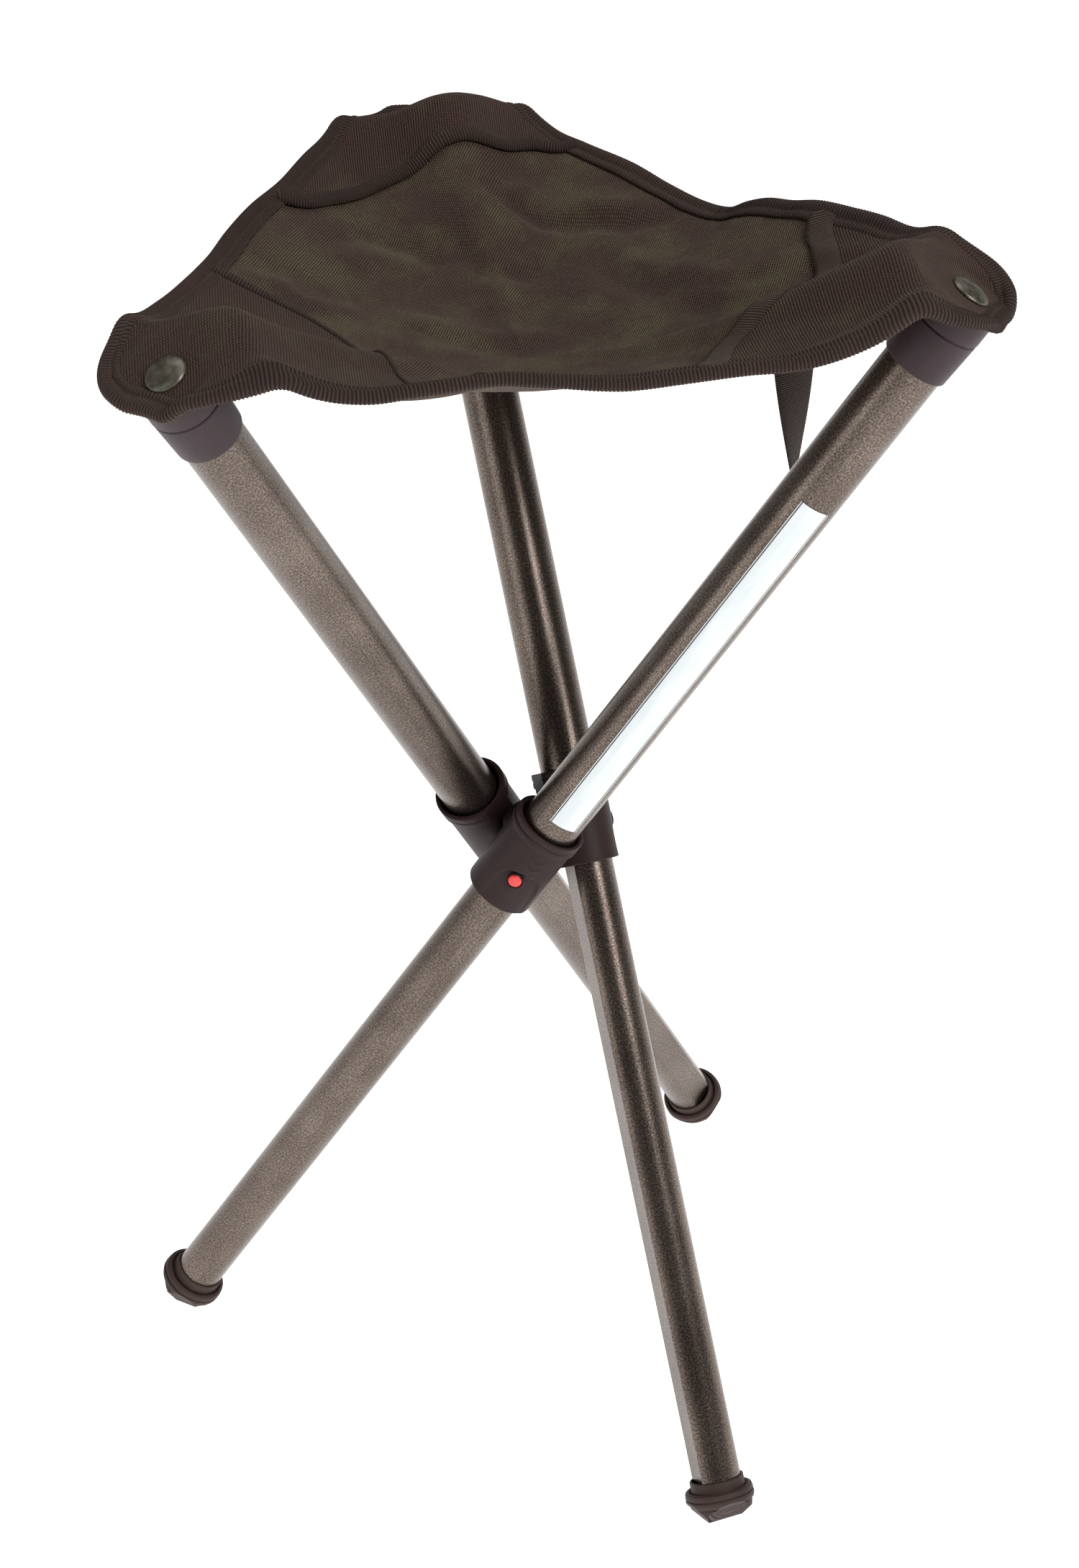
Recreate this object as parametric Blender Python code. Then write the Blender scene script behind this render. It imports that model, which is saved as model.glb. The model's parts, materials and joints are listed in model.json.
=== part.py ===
"""Folding three leg stool: three telescopic legs crossed at a hub, and a cloth seat on their tops.

Units are metres, +Z is up and the floor is z = 0. The stool stands open with its legs extended.
Each leg is drawn in its own frame: Z along the leg, X away from the hub, Y downhill, origin at the
pivot. Lengths that belong to a leg are in millimetres along or across that frame.
"""
import bpy
import bmesh
import math
from mathutils import Matrix, Vector

for o in list(bpy.data.objects):
    bpy.data.objects.remove(o, do_unlink=True)

MM = 0.001

# ---- the open frame -------------------------------------------------------------------------
TILT = math.radians(32.75)      # each leg's lean from vertical when open
OFFSET = 22.3                   # leg axis to the stool's centre line, at the pivot
HUB_Z = 247.0                   # pivot height over the floor
HUB_X, HUB_Y = 0.9, -10.2       # centres the whole stool over the origin
TWIST = 7.8                     # a leg's top leads its seat corner by this angle
CORNERS = {"a": 210.0, "b": 330.0, "c": 90.0}

# ---- tubes ----------------------------------------------------------------------------------
UPPER_R, UPPER_WALL = 11.7, 1.0
UPPER_BOT, UPPER_TOP = -8.5, 291.5
LOWER_R, LOWER_WALL = 10.3, 1.0
LOWER_FLAT = 8.4                # the flat that keeps the lower tube from turning
LOWER_BOT, LOWER_TOP = -283.0, 16.0
TUBE_SEGS = 32

# ---- hub sleeve -----------------------------------------------------------------------------
SLEEVE_TOP, SLEEVE_BOT = 23.0, -17.0
SLEEVE_STEP = 17.0
SLEEVE_R = 14.3
COLLAR_R = 15.2
SLEEVE_ECC = 0.9                # the sleeve is thicker on its hub side
PAD_X = 14.4                    # flat pad that faces the hub
BUTTON_Z = -1.0
BUTTON_R = 2.9
BUTTON_BACK, BUTTON_FRONT = 12.2, 14.0    # from the leg's axis, at rest
SCOOP_FLOOR = 12.5              # deepest point of the thumb recess, from the leg's axis

# ---- pivot ----------------------------------------------------------------------------------
HUB_FACE = 7.6
HUB_HALF_H = 11.0
PIN_R = 2.2

# ---- top cup, rivet and seat stack -----------------------------------------------------------
CUP_BOT, CUP_TOP = 268.0, 298.0
CUP_R = 13.8
PANEL_S = 299.3                 # top face of the seat cloth over a cup
PANEL_T = 1.0
PATCH_T = 0.9
TAPE_T = 0.8
GAP = 0.3

# ---- foot -----------------------------------------------------------------------------------
FOOT_R = 14.5

# ---- seat surface ---------------------------------------------------------------------------
CORNER_R = 38.0
CORNER_IN = 20.0
Z_CENTRE, Z_MID, Z_NEAR, Z_LEVEL, Z_RIDGE = 458.0, 492.0, 498.0, 499.5, 541.0
RIDGE_WIDTH = 8.0
BIND_W = 8.5
STRAP_AZ, STRAP_LENGTH, STRAP_W, STRAP_T = 11.0, 115.0, 18.0, 1.4
STRAP_TWIST, STRAP_DRIFT, STRAP_STEPS = 134.0, 5.0, 8
SEAM_R = 98.0                   # a corner patch's seam, from the seat's centre


# ---- helpers --------------------------------------------------------------------------------
def material(name, rgb, rough=0.5, metal=0.0):
    m = bpy.data.materials.new(name)
    m.use_nodes = True
    b = m.node_tree.nodes["Principled BSDF"]
    b.inputs["Base Color"].default_value = (*rgb, 1.0)
    b.inputs["Roughness"].default_value = rough
    b.inputs["Metallic"].default_value = metal
    return m


M_ALU = material("bronze_anodised_aluminium", (0.16, 0.13, 0.115), 0.38, 0.85)
M_NYLON = material("black_brown_nylon", (0.035, 0.028, 0.024), 0.5)
M_CUP = material("grey_nylon", (0.07, 0.055, 0.06), 0.55)
M_RUBBER = material("dark_rubber", (0.06, 0.05, 0.042), 0.75)
M_RED = material("red_plastic", (0.75, 0.05, 0.045), 0.35)
M_RIVET = material("painted_rivet_steel", (0.16, 0.15, 0.115), 0.4, 0.5)
M_STEEL = material("stainless_steel", (0.55, 0.55, 0.54), 0.3, 1.0)
M_CLOTH = material("brown_polyester_cloth", (0.05, 0.04, 0.034), 0.85)
M_TAPE = material("brown_grosgrain_tape", (0.035, 0.027, 0.023), 0.8)
M_LABEL = material("pale_plain_label", (0.72, 0.76, 0.78), 0.45)
M_ACETAL = material("white_acetal", (0.75, 0.74, 0.70), 0.4)


def make(name, verts, faces, mat):
    me = bpy.data.meshes.new(name)
    me.from_pydata([tuple(v) for v in verts], [], faces)
    bm = bmesh.new()
    bm.from_mesh(me)
    bmesh.ops.recalc_face_normals(bm, faces=bm.faces)
    bm.to_mesh(me)
    bm.free()
    me.materials.append(mat)
    ob = bpy.data.objects.new(name, me)
    bpy.context.scene.collection.objects.link(ob)
    return ob


def skin(loops, closed_path, caps, split=False):
    """Join loops of equal length with quads, or with triangles where the sides are twisted.

    closed_path joins the last loop to the first.
    """
    n = len(loops[0])
    verts = [p for loop in loops for p in loop]
    faces = []
    count = len(loops)
    for i in range(count if closed_path else count - 1):
        a, b = i * n, ((i + 1) % count) * n
        for k in range(n):
            k2 = (k + 1) % n
            if split:
                faces += [(a + k, a + k2, b + k2), (a + k, b + k2, b + k)]
            else:
                faces.append((a + k, a + k2, b + k2, b + k))
    if caps:
        faces.append(tuple(reversed(range(n))))
        faces.append(tuple((count - 1) * n + k for k in range(n)))
    return verts, faces


def circle(r, z, segs, cx=0.0):
    return [(cx + r * math.cos(2 * math.pi * k / segs), r * math.sin(2 * math.pi * k / segs), z)
            for k in range(segs)]


def flatted(r, flat, z, segs, cx=0.0):
    """A circle cut by a flat on its -X side, flat being the distance from x = 0."""
    return [(max(x, -flat), y, z) for x, y, z in circle(r, z, segs, cx)]


def lathe(name, profile, segs, mat):
    """Turn (radius, z) points about Z. A profile that starts and ends at radius 0 is solid."""
    if profile[0][0] == 0.0:
        ring = [circle(r, z, segs) for r, z in profile[1:-1]]
        verts, faces = skin(ring, False, False)
        n = segs
        verts.append((0, 0, profile[0][1]))
        verts.append((0, 0, profile[-1][1]))
        lo, hi = len(verts) - 2, len(verts) - 1
        last = (len(ring) - 1) * n
        for k in range(n):
            faces.append((lo, (k + 1) % n, k))
            faces.append((hi, last + k, last + (k + 1) % n))
        return make(name, verts, faces, mat)
    verts, faces = skin([circle(r, z, segs) for r, z in profile], True, False)
    return make(name, verts, faces, mat)


def cut(ob, cutters, mode="DIFFERENCE"):
    for c in cutters:
        m = ob.modifiers.new("cut", "BOOLEAN")
        m.operation = mode
        m.solver = "EXACT"
        m.object = c
        c.hide_render = True
        c.display_type = "WIRE"
    dg = bpy.context.evaluated_depsgraph_get()
    dg.update()
    me = bpy.data.meshes.new_from_object(ob.evaluated_get(dg))
    ob.modifiers.clear()
    ob.data = me
    for c in cutters:
        bpy.data.objects.remove(c, do_unlink=True)
    return ob


def rod(r, x0, x1, z, segs=20, y=0.0):
    """A cylinder along X, for cutters and pins."""
    loops = [[(x, y + r * math.cos(2 * math.pi * k / segs), z + r * math.sin(2 * math.pi * k / segs))
              for k in range(segs)] for x in (x0, x1)]
    verts, faces = skin(loops, False, True)
    return make("cutter", verts, faces, M_STEEL)


def box(x0, x1, y0, y1, z0, z1, name="cutter", mat=M_STEEL):
    v = [(x, y, z) for z in (z0, z1) for y in (y0, y1) for x in (x0, x1)]
    f = [(0, 2, 3, 1), (4, 5, 7, 6), (0, 1, 5, 4), (2, 6, 7, 3), (0, 4, 6, 2), (1, 3, 7, 5)]
    return make(name, v, f, mat)


def leg_matrix(key):
    a = math.radians(CORNERS[key] + TWIST)
    axis = Vector((math.sin(TILT) * math.cos(a), math.sin(TILT) * math.sin(a), math.cos(TILT)))
    out = Vector((math.cos(a - math.pi / 2), math.sin(a - math.pi / 2), 0.0))
    down = axis.cross(out)
    org = Vector((HUB_X, HUB_Y, HUB_Z)) + out * OFFSET
    m = Matrix.Identity(4)
    for i in range(3):
        m[i][0], m[i][1], m[i][2], m[i][3] = out[i], down[i], axis[i], org[i]
    return m


def settle(ob, m, origin=None):
    """Carry a mesh from its own millimetre frame into the row frame, in metres."""
    ob.data.transform(m)
    ob.data.transform(Matrix.Scale(MM, 4))
    if origin is not None:
        ob.data.transform(Matrix.Translation(-origin * MM))
        ob.location = origin * MM
    ob.data.update()


def smooth(t):
    t = max(0.0, min(1.0, t))
    return t * t * (3 - 2 * t)


def smin(a, b, k):
    h = max(k - abs(a - b), 0.0) / k
    return min(a, b) - h * h * k / 4


# ---- seat surface: plan outline and height ---------------------------------------------------
RIVET_RADIUS = math.hypot(OFFSET, PANEL_S * math.sin(TILT))
ARC_AT = RIVET_RADIUS - CORNER_IN
EDGE_AT = ARC_AT / 2 + CORNER_R


def corner_of(az):
    best = min(CORNERS, key=lambda k: abs((az - CORNERS[k] + 180) % 360 - 180))
    return best, (az - CORNERS[best] + 180) % 360 - 180


# how far the sewn rim strays from the plain shape: (azimuth, outwards, upwards)
RIM = [
    (0, 0, 8), (6, 0, 8), (12, 0, 5.5), (18, 0, 4), (23, 0, 0.5), (28, 0, -4.5), (36, 0, -6), (46, 0, -4.5),
    (56, 0, -2), (66, 0, -3.5), (72, 0, -6.5), (78, 0, -6.5), (84, 0, -1), (90, 0, 2.5), (97, 0, -3.5),
    (103, 2, -1.5), (109, 5, 1.5), (116, 6, 3), (126, 6.5, 3), (138, 8, 4), (150, 7.5, 3.5), (162, 5, 2.5),
    (172, 3, 2.5), (180, 2, 2), (188, 0.5, -1.5), (195, 1.5, -5), (201, 3.5, -4), (206, 2, 0), (211, -3, 5),
    (217, -2, 4), (222, 0, 1.5), (228, 0, -2.5), (234, 0, -2), (240, 0, 1), (252, 0, 4.5), (258, 0, 3.5),
    (264, 0, 2), (270, 0, 0), (276, 0, -1.5), (286, 0, -2), (296, 0, -3), (304, 0, -7), (312, 0, -7),
    (318, 0, -1.5), (324, -1, 1.5), (330, -2, 3), (336, 0.5, 2), (342, 1, 2), (348, 0, 1.5), (354, 0, 6.5),
]


def rim_shift(az, which):
    """The rim's move out (1) or up (2) at an azimuth, on a smooth curve through RIM."""
    az %= 360.0
    n = len(RIM)
    k = max(i for i in range(n) if RIM[i][0] <= az)
    knots = [(RIM[i % n][0] + 360.0 * (i // n), RIM[i % n][which]) for i in range(k - 1, k + 3)]
    (a0, v0), (a1, v1), (a2, v2), (a3, v3) = knots
    t, span = (az - a1) / (a2 - a1), a2 - a1
    m1, m2 = (v2 - v0) / (a2 - a0) * span, (v3 - v1) / (a3 - a1) * span
    return ((2 * t ** 3 - 3 * t * t + 1) * v1 + (t ** 3 - 2 * t * t + t) * m1
            + (3 * t * t - 2 * t ** 3) * v2 + (t ** 3 - t * t) * m2)


def outline(az):
    _, psi = corner_of(az)
    p = math.radians(abs(psi))
    s60 = math.radians(60)
    turn = math.atan2(CORNER_R * math.sin(s60), ARC_AT + CORNER_R * math.cos(s60))
    if p < turn:
        reach = ARC_AT * math.cos(p) + math.sqrt(CORNER_R ** 2 - (ARC_AT * math.sin(p)) ** 2)
    else:
        reach = EDGE_AT / math.cos(s60 - p)
    return reach + rim_shift(az, 1)


def height(x, y):
    """Top face of the seat cloth, hub centred."""
    r = math.hypot(x, y)
    az = math.degrees(math.atan2(y, x))
    key, psi = corner_of(az)
    rho = r / outline(az)
    edge = Z_NEAR + (Z_MID - Z_NEAR) * smooth(abs(psi) / 60)
    w = math.exp(-((math.sqrt(psi * psi + 25) - 5) / RIDGE_WIDTH) ** 1.3)
    top = edge + (Z_RIDGE - edge) * w
    bowl = Z_CENTRE + (top - Z_CENTRE) * rho ** 1.5
    a = math.radians(CORNERS[key] + TWIST)
    ax = (math.sin(TILT) * math.cos(a), math.sin(TILT) * math.sin(a), math.cos(TILT))
    cx = OFFSET * math.cos(a - math.pi / 2) + PANEL_S * ax[0]
    cy = OFFSET * math.sin(a - math.pi / 2) + PANEL_S * ax[1]
    plate = HUB_Z + PANEL_S * ax[2] - (ax[0] * (x - cx) + ax[1] * (y - cy)) / ax[2]
    lifted = -smin(-plate, -Z_LEVEL, 5.0)
    from_rivet = math.hypot(x - cx, y - cy)
    cap = plate + (lifted - plate) * smooth((from_rivet - 11.0) / 10.0)
    rise = rim_shift(az, 2) * min(rho, 1.05) ** 4 * smooth((from_rivet - 20.0) / 7.0)
    return smin(bowl, cap, 5.0) + rise


def on_seat(x, y, lift):
    """A point lift millimetres off the seat surface, along its normal."""
    e = 0.5
    zx = (height(x + e, y) - height(x - e, y)) / (2 * e)
    zy = (height(x, y + e) - height(x, y - e)) / (2 * e)
    n = Vector((-zx, -zy, 1.0)).normalized()
    return Vector((x, y, height(x, y))) + n * lift


# the seat's grid: azimuth steps from each corner, and radii that every cloth layer shares
SECTOR = (-60, -50, -40, -31, -22, -14.5, -8, -2.7, 0, 2.7, 8, 14.5, 22, 31, 40, 50)
PATCH_HALF = 31.0
AZIMUTHS = [(CORNERS[k] + step) % 360 for k in ("b", "c", "a") for step in SECTOR]
RIM_INSET = 2.2
ROW_SEAM, ROW_PATCH_END = 3, 8


def rows_at(az):
    _, psi = corner_of(az)
    r = outline(az)
    inner = r - BIND_W - 1.8
    seam = 0.79 * r
    if abs(psi) <= PATCH_HALF:
        seam = min(SEAM_R / math.cos(math.radians(psi)), inner - 4.5)
    s1 = seam + 3.5
    return [seam * 0.4, seam * 0.76, seam - 3.5, seam, s1, s1 + 0.3 * (inner - s1),
            s1 + 0.55 * (inner - s1), s1 + 0.78 * (inner - s1), inner, r - BIND_W, r - 4.5, r - RIM_INSET]


def node_of(az, radius, lift):
    return on_seat(radius * math.cos(math.radians(az)), radius * math.sin(math.radians(az)), lift)


def layer(name, azs, first, last, low, high, mat):
    """A thin closed solid on grid rows first..last over the given azimuths."""
    cols, rows = len(azs), last - first + 1
    verts = [node_of(az, rows_at(az)[i], lift) for lift in (low, high)
             for i in range(first, last + 1) for az in azs]
    half = rows * cols
    faces = []
    for i in range(rows - 1):
        for j in range(cols - 1):
            a, b = i * cols + j, (i + 1) * cols + j
            for h in (0, half):
                faces += [(h + a, h + a + 1, h + b + 1), (h + a, h + b + 1, h + b)]
    for j in range(cols - 1):
        for i in (0, rows - 1):
            a = i * cols + j
            faces.append((a, a + 1, half + a + 1, half + a))
    for i in range(rows - 1):
        for j in (0, cols - 1):
            a, b = i * cols + j, (i + 1) * cols + j
            faces.append((a, b, half + b, half + a))
    return make(name, verts, faces, mat)


# ---- hub ------------------------------------------------------------------------------------
def build_hub():
    """A three sided block. Each leg's sleeve turns against one of its flat faces."""
    outs = [math.radians(CORNERS[k] + TWIST - 90) for k in ("a", "b", "c")]
    segs = 36

    def section(r, z):
        loop = []
        for i in range(segs):
            t = 2 * math.pi * i / segs
            reach = min(HUB_FACE / max(math.cos(t - o), 1e-6) for o in outs if math.cos(t - o) > 0.3)
            rr = min(r, reach)
            loop.append((rr * math.cos(t), rr * math.sin(t), z))
        return loop

    loops = [section(9.4, -HUB_HALF_H), section(11.2, -HUB_HALF_H + 1.8),
             section(11.2, HUB_HALF_H - 1.8), section(9.4, HUB_HALF_H)]
    verts, faces = skin(loops, False, True)
    hub = make("hub_block", verts, faces, M_NYLON)
    cutters = []
    for o in outs:
        c = rod(PIN_R + 0.05, 3.6, 20.0, 0.0)
        c.data.transform(Matrix.Rotation(o, 4, "Z"))
        cutters.append(c)
    cut(hub, cutters)
    settle(hub, Matrix.Translation((HUB_X, HUB_Y, HUB_Z)))


# ---- one leg --------------------------------------------------------------------------------
def build_leg(key):
    m = leg_matrix(key)
    parts = []

    # upper tube, with its pin clearance hole and button hole
    loops = [circle(UPPER_R, UPPER_BOT, TUBE_SEGS), circle(UPPER_R, UPPER_TOP, TUBE_SEGS),
             circle(UPPER_R - UPPER_WALL, UPPER_TOP, TUBE_SEGS),
             circle(UPPER_R - UPPER_WALL, UPPER_BOT, TUBE_SEGS)]
    verts, faces = skin(loops, True, False)
    tube = make("upper_tube_" + key, verts, faces, M_ALU)
    cut(tube, [rod(BUTTON_R + 0.5, 5.0, 20.0, BUTTON_Z)])
    parts.append(tube)

    # sleeve: eccentric shell with a stepped collar, a flat pad to the hub and a D bore low down
    s = 36
    bore = UPPER_R + 0.15
    outer = [(SLEEVE_R - 0.9, SLEEVE_BOT, SLEEVE_ECC), (SLEEVE_R, SLEEVE_BOT + 0.9, SLEEVE_ECC),
             (SLEEVE_R + 0.1, SLEEVE_STEP - 0.6, SLEEVE_ECC),
             (COLLAR_R - 0.3, SLEEVE_STEP, SLEEVE_ECC), (COLLAR_R, SLEEVE_STEP + 1.2, SLEEVE_ECC),
             (COLLAR_R, SLEEVE_TOP - 1.0, SLEEVE_ECC), (COLLAR_R - 0.8, SLEEVE_TOP, SLEEVE_ECC)]
    loops = [flatted(r, PAD_X, z, s, -e) for r, z, e in outer]
    loops += [circle(bore + 1.3, SLEEVE_TOP - 0.5, s, -0.4), circle(bore + 1.1, SLEEVE_STEP + 1.0, s, -0.3),
              circle(bore, SLEEVE_STEP, s), circle(bore, UPPER_BOT - 0.3, s),
              flatted(LOWER_R + 0.25, LOWER_FLAT + 0.25, UPPER_BOT - 0.3, s),
              flatted(LOWER_R + 0.25, LOWER_FLAT + 0.25, SLEEVE_BOT, s)]
    verts, faces = skin(loops, True, False)
    sleeve = make("leg_sleeve_" + key, verts, faces, M_NYLON)
    scoop = lathe("cutter", [(0.0, -9.5), (4.8, -8.2), (8.2, -4.8), (9.5, 0.0),
                             (8.2, 4.8), (4.8, 8.2), (0.0, 9.5)], 16, M_STEEL)
    scoop.data.transform(Matrix.Diagonal((0.62, 0.95, 1.0, 1.0)))
    scoop.data.transform(Matrix.Translation((SCOOP_FLOOR + 9.5 * 0.62, 0.0, BUTTON_Z - 5.0)))
    cut(sleeve, [scoop])
    cut(sleeve, [rod(BUTTON_R + 0.4, 10.0, 20.0, BUTTON_Z, 16)])
    bore_cut = lathe("cutter", [(0.0, -20.0), (PIN_R + 0.05, -20.0), (PIN_R + 0.05, -13.35), (4.4, -13.35),
                                (4.4, -11.0), (0.0, -11.0)], 16, M_STEEL)
    bore_cut.data.transform(Matrix.Rotation(math.pi / 2, 4, "Y"))
    cut(sleeve, [bore_cut])
    parts.append(sleeve)

    # pivot pin: shank in the hub, head held inside the sleeve's wall
    prof = [(PIN_R, -(OFFSET - 4.0)), (PIN_R, -13.2), (4.1, -13.2), (4.1, -12.15)]
    segs = 20
    loops = [[(x, r * math.cos(2 * math.pi * k / segs), r * math.sin(2 * math.pi * k / segs))
              for k in range(segs)] for r, x in prof]
    verts, faces = skin(loops, False, True)
    pin = make("pivot_pin_" + key, verts, faces, M_STEEL)
    parts.append(pin)

    # top cup over the tube's end
    cup = lathe("top_cup_" + key, [
        (UPPER_R + 0.15, CUP_BOT), (CUP_R - 0.8, CUP_BOT), (CUP_R - 0.1, CUP_TOP - 12.0),
        (CUP_R - 0.7, CUP_TOP - 11.0), (CUP_R, CUP_TOP - 10.0), (CUP_R, CUP_TOP - 3.0),
        (CUP_R - 1.0, CUP_TOP - 0.9), (CUP_R - 3.0, CUP_TOP), (3.0, CUP_TOP), (3.0, UPPER_TOP + 0.3),
        (UPPER_R + 0.15, UPPER_TOP + 0.3)], 28, M_CUP)
    parts.append(cup)

    # seat rivet: domed head over the cloth, tail swelled out under the cup's roof
    hb = PANEL_S + GAP + PATCH_T + GAP
    rivet = lathe("seat_rivet_" + key, [
        (0.0, UPPER_TOP - 1.6), (4.3, UPPER_TOP - 1.6), (4.3, UPPER_TOP - 0.4), (2.5, UPPER_TOP + 0.1),
        (2.5, hb), (7.0, hb), (7.5, hb + 0.5), (6.4, hb + 1.5), (3.6, hb + 2.3), (0.0, hb + 2.5)],
        20, M_RIVET)
    parts.append(rivet)

    # lower tube, D section, with the detent hole under the button
    ri = LOWER_R - LOWER_WALL
    fi = LOWER_FLAT - LOWER_WALL
    loops = [flatted(LOWER_R, LOWER_FLAT, LOWER_BOT, TUBE_SEGS),
             flatted(LOWER_R, LOWER_FLAT, LOWER_TOP, TUBE_SEGS),
             flatted(ri, fi, LOWER_TOP, TUBE_SEGS), flatted(ri, fi, LOWER_BOT, TUBE_SEGS)]
    verts, faces = skin(loops, True, False)
    low = make("lower_tube_" + key, verts, faces, M_ALU)
    cut(low, [rod(BUTTON_R + 0.15, 5.0, 20.0, BUTTON_Z)])
    parts.append(low)

    # glide bush plugged into the lower tube's top
    parts.append(lathe("glide_bush_" + key, [
        (7.1, LOWER_TOP - 7.0), (7.1, LOWER_TOP + 0.3), (UPPER_R - UPPER_WALL - 0.1, LOWER_TOP + 0.3),
        (UPPER_R - UPPER_WALL - 0.1, LOWER_TOP + 4.6), (9.6, LOWER_TOP + 5.6), (5.6, LOWER_TOP + 5.6),
        (5.6, LOWER_TOP - 7.0)], 20, M_ACETAL))

    # snap clip: a bent leaf in the lower tube, its stud just under flush in the detent hole
    leaf = [(-6.9, 5.0), (-6.9, -12.0), (-5.9, -15.0), (-3.4, -15.6), (-1.6, -13.6), (7.0, -3.6),
            (7.0, 2.0), (6.4, 2.0), (6.4, -3.1), (-2.2, -13.0), (-3.5, -14.9), (-5.5, -14.4),
            (-6.3, -11.8), (-6.3, 5.0)]
    loops = [[(x, y, z) for x, z in leaf] for y in (-2.6, 2.6)]
    verts, faces = skin(loops, False, True)
    clip = make("snap_clip_" + key, verts, faces, M_STEEL)
    stud = rod(BUTTON_R - 0.3, 6.7, LOWER_R - 0.2, BUTTON_Z)
    cut(clip, [stud], "UNION")
    parts.append(clip)

    # foot: flanged rubber boot, its tread trimmed level with the floor
    foot = lathe("foot_" + key, [
        (0.0, -301.0), (11.5, -301.0), (13.0, -288.0), (FOOT_R - 0.6, -286.4), (FOOT_R, -285.0),
        (FOOT_R - 0.1, -282.6), (FOOT_R - 0.8, -281.2), (12.8, -280.4), (12.0, -281.8), (11.6, -281.8),
        (11.2, -277.0), (LOWER_R + 0.15, -277.0), (LOWER_R + 0.15, LOWER_BOT - 0.3),
        (0.0, LOWER_BOT - 0.3)], 28, M_RUBBER)
    # floor plane, sloping toe face and two tapered cheeks, all in the leg's frame
    floor = box(-40, 40, -40, 40, -60, 0)
    floor.data.transform(Matrix.Translation((0, 0, -HUB_Z / math.cos(TILT))) @ Matrix.Rotation(TILT, 4, "X"))
    toe = box(-40, 40, -60, 0, -40, 40)
    toe.data.transform(Matrix.Translation((0, -12.6, -286.9)) @ Matrix.Rotation(math.radians(56.0), 4, "X"))
    cheeks = []
    for sx in (-1, 1):
        c = box(0, 40, -60, 60, -40, 40)
        if sx < 0:
            c.data.transform(Matrix.Scale(-1, 4, Vector((1, 0, 0))))
            c.data.flip_normals()
        slope = Matrix.Rotation(sx * math.radians(34.0), 4, "Y")
        c.data.transform(Matrix.Translation((sx * 12.2, 0, -287.6)) @ slope)
        cheeks.append(c)
    cut(foot, [floor, toe] + cheeks)
    parts.append(foot)

    # red button in the sleeve's hole, over the detent
    long = BUTTON_FRONT - BUTTON_BACK
    button = lathe("lock_button_" + key, [
        (0.0, 0.0), (BUTTON_R - 0.25, 0.0), (BUTTON_R, 0.3), (BUTTON_R, long - 0.9),
        (BUTTON_R - 0.35, long - 0.35), (BUTTON_R - 1.3, long - 0.05), (0.0, long)], 16, M_RED)
    lying = Matrix.Rotation(math.pi / 2, 4, "Y")
    button.data.transform(Matrix.Translation((BUTTON_BACK, 0, BUTTON_Z)) @ lying)
    hub_centre = Vector((HUB_X, HUB_Y, HUB_Z))
    settle(button, m, m @ Vector((BUTTON_BACK, 0, BUTTON_Z)))
    for p in parts:
        settle(p, m, None if p is pin else hub_centre)


# ---- cloth seat -----------------------------------------------------------------------------
def rivet_hole(key):
    c = lathe("cutter", [(0.0, PANEL_S - 8), (2.9, PANEL_S - 8), (2.9, PANEL_S + 8), (0.0, PANEL_S + 8)],
              14, M_STEEL)
    c.data.transform(Matrix.Translation((-HUB_X, -HUB_Y, 0)) @ leg_matrix(key))
    return c


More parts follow.
